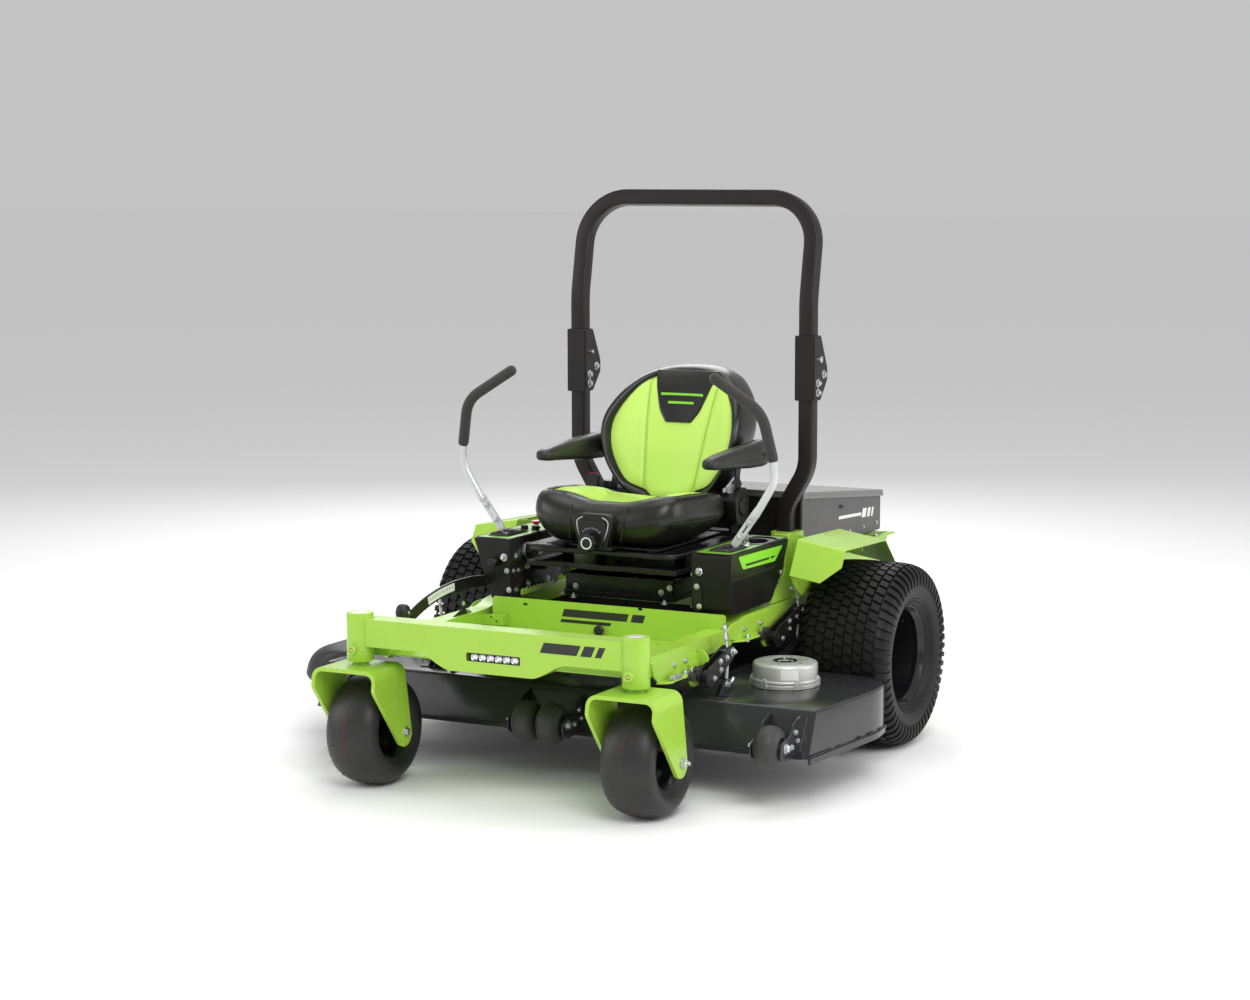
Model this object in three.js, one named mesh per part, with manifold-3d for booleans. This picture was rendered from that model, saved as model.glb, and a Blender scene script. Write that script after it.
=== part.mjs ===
// A battery-electric zero-turn riding mower, in millimetres.
// Working frame while building: +X is the driver's left, -Y is the front, +Z is up, and the
// origin is on the ground below the middle of the rear axle. The finished group is moved so
// that its origin is the centre of the bottom of its bounding box.
import * as THREE from "three";
import { mergeVertices } from "three/addons/utils/BufferGeometryUtils.js";
import Module from "manifold-3d";

const wasm = await Module();
wasm.setup();

// Driving dimensions
const GAP = 0.4; // clearance between faces that meet
const SHEET = 6; // pressed and folded steel
const CASTER = { x: 455, y: -1250, trail: 70, radius: 166, width: 168, rim: 78, sides: 24 };
const TUBE = { radius: 40, bore: 23.5, bottom: 384, top: 529, bossZ: 421 };
const FORK = { half: 110, strap: 12, top: 372, bend: 35, stem: 22.5, axle: 9.5 };
const REAR = { x: 660, radius: 292, width: 302, rim: 152, sides: 32 };
const BEAM = { front: -1275, back: -1200, top: 512, bottom: 430, belly: 384, bellyHalf: 130, sHalf: 250 };
const LED = { x0: -78, x1: 97, z0: 419, z1: 442, depth: 20 };
const RAIL = { outer: 445, inner: 385, back: 560, low: 392, lowTop: 448, high: 415, highTop: 470 };
const PANEL = { y: -640, top: 492, floor: 396, rightEdge: -360, platform: 480, platformBack: -20 };
const POD = { inner: 315, outer: 447, front: -605, back: -175, footBack: -309, top: 667, bottom: 486 };
const POD_R = { outerTop: 445, outerBottom: 382, back: -180, bottom: 478, step: 550, stepY: -537 };
const LEVER = { x: 399, y: -494, driveZ: 645, swingZ: 668, rod: 12.5, grip: 17 };
const SEAT_BASE = { half: 190, front: -480, back: -150, top: 557, plateZ: 598, plateHalf: 262 };
const SUSPENSION = { z: 640, thick: 12, half: 270, front: -620, back: -130 };
const CUSHION = { halfX: 248, halfY: 237, y: -385, bottom: 672.4 };
const RECLINE = { y: -110, z: 735 };
const ARM_PIVOT = { y: -55, z: 915 };
const KNOB = { z: 687, radius: 30, y0: -690, y1: -655.4 };
const ROPS = { tube: 50, y: 50, lowX: 338, highX: 412, bendLow: 735, bendHigh: 860, split: 1162 };
const CHANNEL = { half: 33, wall: 7, bottom: 1078, top: 1290, front: 17.6, ear: 130 };
const HOOP = { leanFrom: 1400, lean: 11 * Math.PI / 180, top: 1746, corner: 150, pivotY: 98 };
const BATTERY = { half: 380, front: 85, back: 768, floor: 573, lidFront: 778, lidBack: 711 };
const DECK = { top: 280, bottom: 148, wall: 5, frontTop: -858, frontBottom: -917 };
const SPINDLES = { side: { x: 600, y: -548, reach: 220 }, centre: { x: 0, y: -580, reach: 312 } };
const ROLLER = { y: -985, z: 190, radius: 62, width: 76, axle: 6.5, left: 745, right: -670 };
const BLADE = { z: 160, thick: 6, half: 30, lift: 18 };
const FENDER = { inner: 505, outer: 660, drop: 26 };
const LIFT_FRONT = { y: -865, z: 350, pinY: -720, pinZ: 400, armX: 490 };
const LIFT_REAR = { y: -356, z: 384, pinY: -170, pinZ: 440, armX: 480 };
const DIAL = { x: -406, thick: 6, width: 36 };

const GREEN = { color: 0xa2c84e, roughness: 0.35, metalness: 0.1 };
const BLACK = { color: 0x2b2826, roughness: 0.45, metalness: 0.3 };
const RUBBER = { color: 0x2b2928, roughness: 0.85, metalness: 0 };
const VINYL = { color: 0x2a2a25, roughness: 0.5, metalness: 0 };
const PLASTIC = { color: 0x1f1e1d, roughness: 0.6, metalness: 0 };
const STEEL = { color: 0xc9cbcd, roughness: 0.35, metalness: 0.9 };
const CAST = { color: 0xb9bab8, roughness: 0.5, metalness: 0.7 };
const LENS = { color: 0xf2f6fa, roughness: 0.15, metalness: 0 };
const RED = { color: 0xc02020, roughness: 0.4, metalness: 0 };

const mower = new THREE.Group();

// Solids ---------------------------------------------------------------------------------

// A closed geometry as a manifold solid with its faces pointing out.
function solid(geometry) {
  const plain = geometry.index ? geometry.toNonIndexed() : geometry.clone();
  plain.deleteAttribute("normal");
  plain.deleteAttribute("uv");
  const merged = mergeVertices(plain, 1e-3);
  const vertProperties = new Float32Array(merged.attributes.position.array);
  const triVerts = new Uint32Array(merged.index.array);
  const made = new wasm.Manifold(new wasm.Mesh({ numProp: 3, vertProperties, triVerts }));
  if (made.volume() > 0) return made;
  for (let i = 0; i < triVerts.length; i += 3) {
    [triVerts[i + 1], triVerts[i + 2]] = [triVerts[i + 2], triVerts[i + 1]];
  }
  return new wasm.Manifold(new wasm.Mesh({ numProp: 3, vertProperties, triVerts }));
}

function join(...solids) {
  return solids.reduce((whole, piece) => whole.add(piece));
}

function cut(whole, ...tools) {
  return tools.reduce((rest, tool) => rest.subtract(tool), whole);
}

// Adds a solid to a group as a named mesh.
function add(name, body, look, group = mower) {
  const made = body.getMesh();
  const geometry = new THREE.BufferGeometry();
  const positions = new Float32Array(made.numVert * 3);
  for (let i = 0; i < made.numVert; i++) {
    for (let k = 0; k < 3; k++) positions[3 * i + k] = made.vertProperties[made.numProp * i + k];
  }
  geometry.setAttribute("position", new THREE.BufferAttribute(positions, 3));
  geometry.setIndex(new THREE.BufferAttribute(new Uint32Array(made.triVerts), 1));
  geometry.computeVertexNormals();
  const mesh = new THREE.Mesh(geometry, new THREE.MeshStandardMaterial(look));
  mesh.name = name;
  group.add(mesh);
}

function groupAt(x, y, z) {
  const group = new THREE.Group();
  group.position.set(x, y, z);
  mower.add(group);
  return group;
}

// A box between two values on each axis, given in either order.
function box(x0, x1, y0, y1, z0, z1) {
  const size = [Math.abs(x1 - x0), Math.abs(y1 - y0), Math.abs(z1 - z0)];
  const geometry = new THREE.BoxGeometry(...size);
  return solid(geometry.translate((x0 + x1) / 2, (y0 + y1) / 2, (z0 + z1) / 2));
}

// A flat outline of [a, b] points pushed along one axis from c0 to c1.
// Axis "x" reads [y, z], axis "y" reads [x, z] and axis "z" reads [x, y].
function prismGeometry(axis, outline, c0, c1) {
  const points = outline.map(([a, b]) => (axis === "y" ? [b, a] : [a, b]));
  const shape = new THREE.Shape(points.map(([a, b]) => new THREE.Vector2(a, b)));
  const depth = Math.abs(c1 - c0);
  const geometry = new THREE.ExtrudeGeometry(shape, { depth, bevelEnabled: false });
  geometry.translate(0, 0, Math.min(c0, c1));
  const turn = new THREE.Matrix4();
  const X = new THREE.Vector3(1, 0, 0);
  const Y = new THREE.Vector3(0, 1, 0);
  const Z = new THREE.Vector3(0, 0, 1);
  if (axis === "x") turn.makeBasis(Y, Z, X);
  if (axis === "y") turn.makeBasis(Z, X, Y);
  return geometry.applyMatrix4(turn);
}

function prism(axis, outline, c0, c1) {
  return solid(prismGeometry(axis, outline, c0, c1));
}

// A profile of [radius, height] points turned round an axis through (x, y, z).
function turned(axis, profile, x, y, z, sides) {
  const points = profile.map(([r, h]) => new THREE.Vector2(r, h));
  const geometry = new THREE.LatheGeometry(points, sides, Math.PI / sides);
  if (axis === "x") geometry.rotateZ(-Math.PI / 2);
  if (axis === "z") geometry.rotateX(Math.PI / 2);
  return solid(geometry.translate(x, y, z));
}

// A round bar along an axis from a0 to a1, through the two other coordinates.
function bar(axis, a0, a1, p, q, radius, sides = 16) {
  const profile = [[0, a0], [radius, a0], [radius, a1], [0, a1]];
  if (axis === "x") return turned("x", profile, 0, p, q, sides);
  if (axis === "y") return turned("y", profile, p, 0, q, sides);
  return turned("z", profile, p, q, 0, sides);
}

// A skin through rings of equal length, closed at both ends.
function loft(rings) {
  const n = rings[0].length;
  const positions = [];
  const push = (...points) => points.forEach((p) => positions.push(p.x, p.y, p.z));
  for (let i = 0; i + 1 < rings.length; i++) {
    for (let j = 0; j < n; j++) {
      const k = (j + 1) % n;
      push(rings[i][j], rings[i][k], rings[i + 1][k]);
      push(rings[i][j], rings[i + 1][k], rings[i + 1][j]);
    }
  }
  const last = rings[rings.length - 1];
  for (let j = 1; j + 1 < n; j++) {
    push(rings[0][0], rings[0][j + 1], rings[0][j]);
    push(last[0], last[j], last[j + 1]);
  }
  const geometry = new THREE.BufferGeometry();
  return solid(geometry.setAttribute("position", new THREE.Float32BufferAttribute(positions, 3)));
}

// A section of [a, b] points carried along a path, with a held along the reference direction.
function sweep(path, section, reference) {
  const rings = path.map((p, i) => {
    const before = path[Math.max(i - 1, 0)];
    const after = path[Math.min(i + 1, path.length - 1)];
    const along = after.clone().sub(before).normalize();
    const u = reference.clone().addScaledVector(along, -reference.dot(along)).normalize();
    const v = along.clone().cross(u);
    return section.map(([a, b]) => p.clone().addScaledVector(u, a).addScaledVector(v, b));
  });
  return loft(rings);
}

// A polyline with each inner corner rounded, starting the round `reach` before the corner.
function rounded(points, reach, steps = 5) {
  const path = [points[0]];
  for (let i = 1; i + 1 < points.length; i++) {
    const corner = points[i];
    const start = corner.clone().lerp(points[i - 1], reach / corner.distanceTo(points[i - 1]));
    const end = corner.clone().lerp(points[i + 1], reach / corner.distanceTo(points[i + 1]));
    const arc = new THREE.QuadraticBezierCurve3(start, corner, end);
    path.push(...arc.getPoints(steps));
  }
  path.push(points[points.length - 1]);
  return path;
}

function roundSection(radius, sides = 8) {
  const turn = (2 * Math.PI) / sides;
  return [...Array(sides).keys()].map((i) => [radius * Math.cos(i * turn), radius * Math.sin(i * turn)]);
}

// A square tube's section with its corners cut.
function squareSection(width, corner = 7) {
  const h = width / 2;
  const c = h - corner;
  return [[h, -c], [h, c], [c, h], [-c, h], [-h, c], [-h, -c], [-c, -h], [c, -h]];
}

// A ring of points round a superellipse in a level plane.
function levelRing(y, z, halfX, halfY, power = 4, count = 24) {
  return [...Array(count).keys()].map((i) => {
    const turn = (2 * Math.PI * (i + 0.5)) / count;
    const c = Math.cos(turn);
    const s = Math.sin(turn);
    const px = halfX * Math.sign(c) * Math.abs(c) ** (2 / power);
    const py = halfY * Math.sign(s) * Math.abs(s) ** (2 / power);
    return new THREE.Vector3(px, y + py, z);
  });
}

function point(x, y, z) {
  return new THREE.Vector3(x, y, z);
}

// Points on an arc round a centre, angles in degrees.
function arcPoints(cx, cy, radius, from, to, steps) {
  return [...Array(steps + 1).keys()].map((i) => {
    const turn = ((from + ((to - from) * i) / steps) * Math.PI) / 180;
    return [cx + radius * Math.cos(turn), cy + radius * Math.sin(turn)];
  });
}

// Front frame ------------------------------------------------------------------------------

// The cross beam between the caster tubes: its belly drops in two smooth S curves.
function frontBeam() {
  const { x } = CASTER;
  const edge = x - TUBE.radius + 12;
  const drop = BEAM.bottom - BEAM.belly;
  const belly = [];
  for (let i = 0; i <= 6; i++) {
    const t = i / 6;
    const smooth = t * t * (3 - 2 * t);
    belly.push([BEAM.sHalf + (BEAM.bellyHalf - BEAM.sHalf) * t, BEAM.bottom - drop * smooth]);
  }
  const left = [[edge, BEAM.top], [edge, BEAM.bottom], ...belly];
  const right = left.map(([px, pz]) => [-px, pz]).reverse();
  const room = (side) => bar("z", 300, 600, side * x, CASTER.y, TUBE.radius - 2, 24);
  const pocket = box(LED.x0, LED.x1, BEAM.front - 1, BEAM.front + LED.depth, LED.z0, LED.z1);
  const body = prism("y", [...left, ...right], BEAM.front, BEAM.back);
  const beam = cut(body, room(1), room(-1), pocket);
  add("front_beam", join(beam, casterTube(x), casterTube(-x)), GREEN);
}

function ledBar() {
  const back = BEAM.front + LED.depth - GAP;
  const body = box(LED.x0 + GAP, LED.x1 - GAP, BEAM.front + 2, back, LED.z0 + GAP, LED.z1 - GAP);
  add("led_light_bar", body, LENS);
}

// The vertical tube that a caster stem turns in, welded to the beam, with a hollow boss in front.
function casterTube(x) {
  const { radius, bore, bottom, top, bossZ } = TUBE;
  const profile = [[0, top - 12], [bore, top - 12], [bore, bottom], [radius, bottom]];
  profile.push([radius, top - 7], [radius - 3, top], [0, top]);
  const boss = bar("y", CASTER.y - radius - 12, CASTER.y - bore - 2, x, bossZ, 11);
  return join(turned("z", profile, x, CASTER.y, 0, 24), boss);
}

// The bent strap fork, its stem and its wheel axle.
function casterFork(side, name) {
  const group = groupAt(side * CASTER.x, CASTER.y, 0);
  const { half, strap, top, bend, stem, axle } = FORK;
  const outer = arcPoints(half - bend, top - bend, bend, 0, 90, 5);
  const inner = arcPoints(half - bend, top - bend, bend - strap, 90, 0, 5);
  const leftHalf = [[half, 100], ...outer];
  const rightHalf = outer.map(([x, z]) => [-x, z]).reverse();
  const innerLeft = inner.map(([x, z]) => [-x, z]).reverse();
  const channel = [...leftHalf, ...rightHalf, [-half, 100], [strap - half, 100], ...innerLeft];
  channel.push(...inner, [half - strap, 100]);
  const tip = arcPoints(CASTER.trail - 5, CASTER.radius - 6, 38, 218, 360, 8);
  const leg = [[-95, top + 1], [-95, 345], [-100, 312], ...tip, [72, 340], [75, top + 1]];
  const strapBody = prism("y", channel, -120, 120).intersect(prism("x", leg, -half - 1, half + 1));
  const post = bar("z", top - 1, 512, 0, 0, stem, 16);
  const pin = bar("x", -half - 8, half + 8, CASTER.trail, CASTER.radius, axle);
  const heads = bar("x", half - 1, half + 10, CASTER.trail, CASTER.radius, 14, 6);
  const farHead = bar("x", -half - 10, -half + 1, CASTER.trail, CASTER.radius, 14, 6);
  add("caster_fork_" + name, join(strapBody, post, pin, heads, farHead), GREEN, group);
}

// Wheels -------------------------------------------------------------------------------------

// A tyre as a closed ring: crown, shoulders and side walls, standing on a flat of its tread.
function tyre(name, look, x, y, { radius, width, rim, sides }, crown) {
  const r = radius / Math.cos(Math.PI / sides);
  const h = width / 2;
  const profile = [[rim + GAP, -h * 0.7], [(rim + r) / 2, -h], [r - crown, -h * 0.88], [r, -h * 0.5]];
  profile.push([r, h * 0.5], [r - crown, h * 0.88], [(rim + r) / 2, h], [rim + GAP, h * 0.7]);
  profile.push([rim + GAP, -h * 0.7]);
  add(name, turned("x", profile, 0, 0, 0, sides), look, groupAt(x, y, radius));
}

function casterRim(side, name) {
  const b = FORK.axle + 0.5;
  const profile = [[b, -86], [26, -86], [26, -16], [64, -16], [CASTER.rim, -56]];
  profile.push([CASTER.rim, 56], [64, 16], [26, 16], [26, 86], [b, 86], [b, -86]);
  const group = groupAt(side * CASTER.x, CASTER.y + CASTER.trail, CASTER.radius);
  add("caster_rim_" + name, turned("x", profile, 0, 0, 0, CASTER.sides), BLACK, group);
}

// The dished drive rim: the disc sits towards the machine and carries the hub flange.
function rearRim(side, name) {
  const r = REAR.rim;
  const profile = [[0, -92], [60, -92], [100, -70], [134, -74], [142, -100], [r, -100], [r, 100]];
  profile.push([142, 100], [134, -60], [100, -58], [60, -80], [0, -80]);
  const flipped = profile.map(([a, h]) => [a, side * h]);
  const group = groupAt(side * REAR.x, 0, REAR.radius);
  add("drive_rim_" + name, turned("x", flipped, 0, 0, 0, REAR.sides), BLACK, group);
}

function wheelMotor(side, name) {
  const end = REAR.x - 92 - GAP;
  const profile = [[0, RAIL.outer + GAP], [78, RAIL.outer + GAP], [78, 505], [62, 512]];
  profile.push([62, 540], [48, 545], [48, end], [0, end]);
  const flipped = profile.map(([a, h]) => [a, side * h]);
  add("wheel_motor_" + name, turned("x", flipped, 0, 0, REAR.radius, 16), CAST);
}

// Main frame ---------------------------------------------------------------------------------

// A side rail: low in front, stepping up behind the foot panel, with two lift gussets.
function rail(side, name) {
  const { outer, inner, back, low, lowTop, high, highTop } = RAIL;
  const front = BEAM.back + GAP;
  const outline = [[front, low], [PANEL.y, low], [-500, high], [back, high]];
  outline.push([back, highTop], [-500, highTop], [-635, lowTop], [front, lowTop]);
  const body = prism("x", outline, side * inner, side * outer);
  const frontGusset = [[-1139, 430], [-1120, 386], [-1080, 366], [-860, 366], [-826, 386]];
  frontGusset.push([-826, 418], [-900, 430]);
  const rearGusset = [[-640, 440], [-620, 404], [-560, 396], [-300, 396], [-262, 408]];
  rearGusset.push([-262, 432], [-300, 440]);
  const plate = (points) => prism("x", points, side * (outer - 1), side * (outer + SHEET));
  add("frame_rail_" + name, join(body, plate(frontGusset), plate(rearGusset)), GREEN);
}

// Floor pan, foot panel, seat platform and the two plates that carry the control pods.
function floorPanel() {
  const { y, top, floor, rightEdge, platform, platformBack } = PANEL;
  const edge = RAIL.inner - GAP;
  const pan = box(-edge, edge, BEAM.back + GAP, y + 1, floor, floor + 4);
  const panel = box(rightEdge, edge, y, y + SHEET, floor, top);
  const wing = box(edge - 1, RAIL.outer, y, y + SHEET, RAIL.lowTop + 0.8, top);
  const bench = box(-309, 309, y, platformBack, platform, platform + SHEET);
  const plates = [1, -1].map((side) => box(side * 303, side * 309, -600, -150, platform, 640));
  add("floor_panel", join(pan, panel, wing, bench, ...plates), GREEN);
}

// The housing between the rails that holds the drive controllers and carries the wheel motors.
function driveHousing() {
  const edge = RAIL.outer - GAP;
  const core = box(-edge, edge, -110, 110, 230, RAIL.high - GAP);
  const keel = box(-300, 300, -80, 80, 205, 231);
  add("drive_housing", join(core, keel), BLACK);
}

// The rear subframe: a plate for the battery box on two walls, with the roll bar sockets.
function rearFrame() {
  const bottom = RAIL.highTop + GAP;
  const plate = box(-400, 400, 12, 770, 560, 570);
  const walls = [1, -1].map((side) => box(side * 386, side * 400, 12, 700, bottom, 561));
  const tail = box(-400, 400, 694, 700, bottom, 561);
  const sockets = [1, -1].map((side) => box(side * 300, side * 387, 12, 84, bottom, 655));
  const { lowX, tube, y } = ROPS;
  const h = tube / 2 + GAP;
  const holes = [1, -1].map((side) => box(side * (lowX - h), side * (lowX + h), y - h, y + h, 490, 700));
  add("rear_frame", cut(join(plate, ...walls, tail, ...sockets), ...holes), GREEN);
}

// Roll bar -------------------------------------------------------------------------------------

// The lower post: a square tube that bends outward and ends inside its hinge channel.
function ropsPost(side, name) {
  const { tube, y, lowX, highX, bendLow, bendHigh, split } = ROPS;
  const corners = [point(side * lowX, y, 490 + GAP), point(side * lowX, y, bendLow)];
  corners.push(point(side * highX, y, bendHigh), point(side * highX, y, split - GAP));
  const path = rounded(corners, 45, 4);
  const post = sweep(path, squareSection(tube), point(0, 1, 0));
  const { half, wall, bottom, top, front, ear } = CHANNEL;
  const cheek = [[front, bottom], [75, bottom], [ear, 1140], [ear, 1182], [75, top], [front, top]];
  const cheeks = [1, -1].map((s) => {
    const x = side * highX;
    return prism("x", cheek, x + s * half, x + s * (half - wall));
  });
  const web = box(side * highX - half, side * highX + half, front, front + wall, bottom, top);
  const filler = box(side * highX - half, side * highX + half, front, y, bottom, bottom + 20);
  add("rops_post_" + name, join(post, web, filler, ...cheeks), BLACK);
}

// The folding hoop: two legs that lean back above the hinges and one top bar.
function ropsHoop() {
  const { tube, y, highX, split } = ROPS;
  const { leanFrom, lean, top, corner, pivotY } = HOOP;
  const topZ = top - (tube / 2) * Math.cos(lean);
  const topY = y + (topZ - leanFrom) * Math.tan(lean);
  const leg = (side) => [point(side * highX, y, split + GAP), point(side * highX, y, leanFrom)];
  const legs = [leg(1), leg(-1).reverse()];
  const middle = [point(highX, topY, topZ), point(-highX, topY, topZ)];
  const path = [legs[0][0]];
  path.push(...rounded([legs[0][0], legs[0][1], middle[0]], 40, 2).slice(1, -1));
  path.push(...rounded([legs[0][1], middle[0], middle[1]], corner, 6).slice(1, -1));
  path.push(...rounded([middle[0], middle[1], legs[1][0]], corner, 6).slice(1, -1));
  path.push(...rounded([middle[1], legs[1][0], legs[1][1]], 40, 2).slice(1));
  const hoop = sweep(path, squareSection(tube - 1.2), point(0, Math.cos(lean), -Math.sin(lean)));
  const lugs = [1, -1].map((side) => {
    const x0 = side * highX - 22;
    const eye = bar("x", x0, x0 + 44, pivotY, split, 22, 12);
    return join(eye, box(x0, x0 + 44, y + 20, pivotY, split + GAP, split + 22));
  });
  add("rops_hoop", join(hoop, ...lugs), BLACK);
}

// Fenders, pods and controls ---------------------------------------------------------------------

// The folded fender over a drive tyre, leaning down outward, with a front and a rear flap.
function fender(side, name) {
  const { inner, outer, drop } = FENDER;
  const profile = [[-292, 566], [-227, 672], [109, 662], [206, 572]];
  const lower = profile.map(([y, z]) => [y, z - 4]).reverse();
  const level = prismGeometry("x", [...profile, ...lower], side * inner, side * outer);
  const slope = drop / (outer - inner);
  const lean = new THREE.Matrix4();
  lean.set(1, 0, 0, 0, 0, 1, 0, 0, -side * slope, 0, 1, slope * inner, 0, 0, 0, 1);
  const arch = solid(level.applyMatrix4(lean));
  const corner = [[outer + 1, 500], [outer + 1, 596], [603, 545], [603, 500]];
  const cutCorner = prism("y", corner.map(([x, z]) => [side * x, z]), -400, -230);
  const web = [[-288, 569], [-226, 670], [108, 660], [0, 560], [-60, 480], [-200, 480]];
  const stay = prism("x", web, side * (inner + 2), side * (inner - 5));
  const foot = box(side * (RAIL.inner + 17), side * (inner - 1), -60, -10, 540, 546);
  add("fender_" + name, join(cut(arch, cutCorner), stay, foot), GREEN);
}

// The hollow under each lever, open at the top of the pod.
function leverPocket(side) {
  return box(side * 350, side * 424, -560, -430, 600, POD.top + 1);
}

function controlPodLeft() {
  const { inner, outer, front, back, footBack, top, bottom } = POD;
  const outline = [[front, bottom], [front + 5, top], [back, top], [footBack, bottom]];
  const shell = prism("x", outline, inner, outer);
  const cup = bar("z", 588, top + 1, 383, -290, 38, 24);
  add("control_pod_left", cut(shell, leverPocket(1), cup), BLACK);
}

function controlPodRight() {
  const { outerTop, outerBottom, back, bottom, step, stepY } = POD_R;
  const { inner, front, top } = POD;
  const face = [[-outerTop, top], [-outerBottom, bottom], [-inner, bottom], [-inner, top]];
  const outline = [[front, bottom], [front + 5, top], [back, top], [back - 80, step]];
  outline.push([stepY, step], [stepY, bottom]);
  const shell = prism("y", face, front - 1, back + 1).intersect(prism("x", outline, -500, -300));
  add("control_pod_right", cut(shell, leverPocket(-1)), BLACK);
}

// The block that tips fore and aft; the lap bar swings sideways on top of it.
function leverBase(side, name) {
  const { x, y, driveZ } = LEVER;
  const block = box(side * (x - 13), side * (x + 13), y - 14, y + 14, 628, 672);
  const ends = side > 0 ? [352, 416] : [-416, -352];
  add("lever_base_" + name, join(block, bar("x", ...ends, y, driveZ, 7, 8)), STEEL);
}

// A lap bar: flat foot, rod and padded grip, bent in towards the driver at the top.
function lapBar(side, name) {
  const rodPoints = [[399 + 8, -494, 682], [478, -498, 780], [543, -501, 885], [539, -507, 952]];
  const gripPoints = [[539, -507, 946], [510, -526, 1092], [340, -523, 1197]];
  const place = ([x, y, z]) => point(side * x, y, z);
  const rod = sweep(rounded(rodPoints.map(place), 25, 4), roundSection(LEVER.rod), point(0, 1, 0));
  const grip = sweep(rounded(gripPoints.map(place), 45, 5), roundSection(LEVER.grip), point(0, 1, 0));
  add("lap_bar_" + name, rod, STEEL);
  add("lap_grip_" + name, cut(grip, rod), RUBBER);
}

function ptoKnob() {
  const profile = [[0, 0], [7, 0], [7, 12], [17, 12], [17, 22], [13, 27], [0, 27]];
  add("pto_knob", turned("z", profile, -365, -346, POD.top + GAP, 12), RED);
}

// Seat -------------------------------------------------------------------------------------------

function seatBase() {
  const { half, front, back, top, plateZ, plateHalf } = SEAT_BASE;
  const bottom = PANEL.platform + SHEET + GAP;
  const body = box(-half, half, front, back, bottom, top);
  const neck = box(-140, 140, front + 40, back - 40, top - 1, plateZ + 1);
  const plate = box(-plateHalf, plateHalf, -600, -165, plateZ, plateZ + 10);
  add("seat_base", join(body, neck, plate), BLACK);
}

function seatSuspension() {
  const { z, thick, half, front, back } = SUSPENSION;
  const plate = box(-half, half, front, back, z, z + thick);
  const slides = [1, -1].map((s) => box(s * 150, s * 170, -560, -140, z + thick - 1, z + 20));
  add("seat_suspension_plate", join(plate, ...slides), BLACK);
}

// The sliding seat pan with the backrest uprights and the adjuster housing in front.
function seatPan() {
  const z = SUSPENSION.z + 20 + GAP;
  const top = CUSHION.bottom - GAP;
  const pan = box(-200, 200, -590, -110, z, top);
  const yoke = box(-234, 234, -142, -90, z, top);
  const uprights = [1, -1].map((s) => box(s * 222, s * 234, -142, -84, z, 762));
  const tongue = box(-60, 60, -655, -580, z, top);
  const housing = box(-60, 60, -655, -630, z, 768);
  add("seat_pan", join(pan, yoke, tongue, housing, ...uprights), PLASTIC);
}

function seatCushion() {
  const { halfX, halfY, y, bottom } = CUSHION;
  const levels = [[0, 0.84], [28, 0.95], [72, 1], [112, 0.97], [130, 0.86]];
  const rings = levels.map(([rise, grow]) => {
    const narrow = rise < 60 ? 25 : 0;
    return levelRing(y, bottom + rise, halfX * grow - narrow, halfY * grow);
  });
  add("seat_cushion", loft(rings), VINYL);
}

// Each level gives its height, its front face, its thickness and its half width.
function seatBackrest() {
  const levels = [[745, -140, 70, 125], [800, -122, 92, 175], [880, -96, 100, 228], [960, -62, 102, 252]];
  levels.push([1040, -26, 100, 248], [1110, 14, 92, 215], [1150, 38, 80, 172], [1172, 56, 60, 115]);
  const rings = levels.map(([z, front, deep, half]) => {
    return levelRing(front + deep / 2, z, half, deep / 2, 3.2, 18);
  });
  add("seat_backrest", loft(rings), VINYL);
}

// An armrest: a tapering pad on a round pivot beside the backrest.
function armrest(side, name) {
  const stations = [[-28, 262, 312, 872, 958], [-150, 262, 316, 878, 952], [-300, 262, 318, 890, 942]];
  stations.push([-400, 265, 316, 900, 936], [-446, 278, 305, 908, 930]);
  const rings = stations.map(([y, x0, x1, z0, z1]) => {
    const c = 8;
    const ring = [[x0 + c, z0], [x1 - c, z0], [x1, z0 + c], [x1, z1 - c]];
    ring.push([x1 - c, z1], [x0 + c, z1], [x0, z1 - c], [x0, z0 + c]);
    return ring.map(([x, z]) => point(side * x, y, z));
  });
  const hub = side > 0 ? [248, 266] : [-266, -248];
  add("armrest_" + name, join(loft(rings), bar("x", ...hub, ARM_PIVOT.y, ARM_PIVOT.z, 22)), PLASTIC);
}

function weightKnob() {
  const { z, radius, y0, y1 } = KNOB;
  add("weight_knob", bar("y", y0, y1, 0, z, radius, 18), PLASTIC);
}

// Battery ------------------------------------------------------------------------------------------

// Height of the underside of the sloping lid at a distance behind the axle.
function lidUnder(y) {
  const { front, back, lidFront, lidBack } = BATTERY;
  return lidFront - 10 + ((lidBack - lidFront) * (y - front)) / (back - front);
}

function batteryBox() {
  const { half, front, back, floor } = BATTERY;
  const outline = [[front, floor], [front, lidUnder(front) - GAP]];
  outline.push([back, lidUnder(back) - GAP], [back, floor]);
  const inner = [front + SHEET, back - SHEET];
  const bay = [[inner[0], floor + SHEET], [inner[0], 900], [inner[1], 900], [inner[1], floor + SHEET]];
  const tub = cut(prism("x", outline, -half, half), prism("x", bay, SHEET - half, half - SHEET));
  add("battery_box", tub, BLACK);
  add("battery_pack", box(-355, 355, 110, 740, floor + SHEET + 1, 680), PLASTIC);
}

function batteryLid() {
  const { half, front, back } = BATTERY;
  const y0 = front - 7;
  const y1 = back + 7;
  const band = (low, high) => {
    const z0 = lidUnder(y0);
    const z1 = lidUnder(y1);
    return [[y0, z0 + low], [y0, z0 + high], [y1, z1 + high], [y1, z1 + low]];
  };
  const plate = prism("x", band(0, 10), -half - 7, half + 7);
  const lips = [1, -1].map((s) => prism("x", band(-22, 1), s * (half + 1), s * (half + 7)));
  const frontLip = box(-half - 7, half + 7, y0, y0 + 6, lidUnder(y0) - 22, lidUnder(y0) + 1);
  add("battery_lid", join(plate, frontLip, ...lips), BLACK);
}

// Cutting deck ---------------------------------------------------------------------------------------

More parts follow.
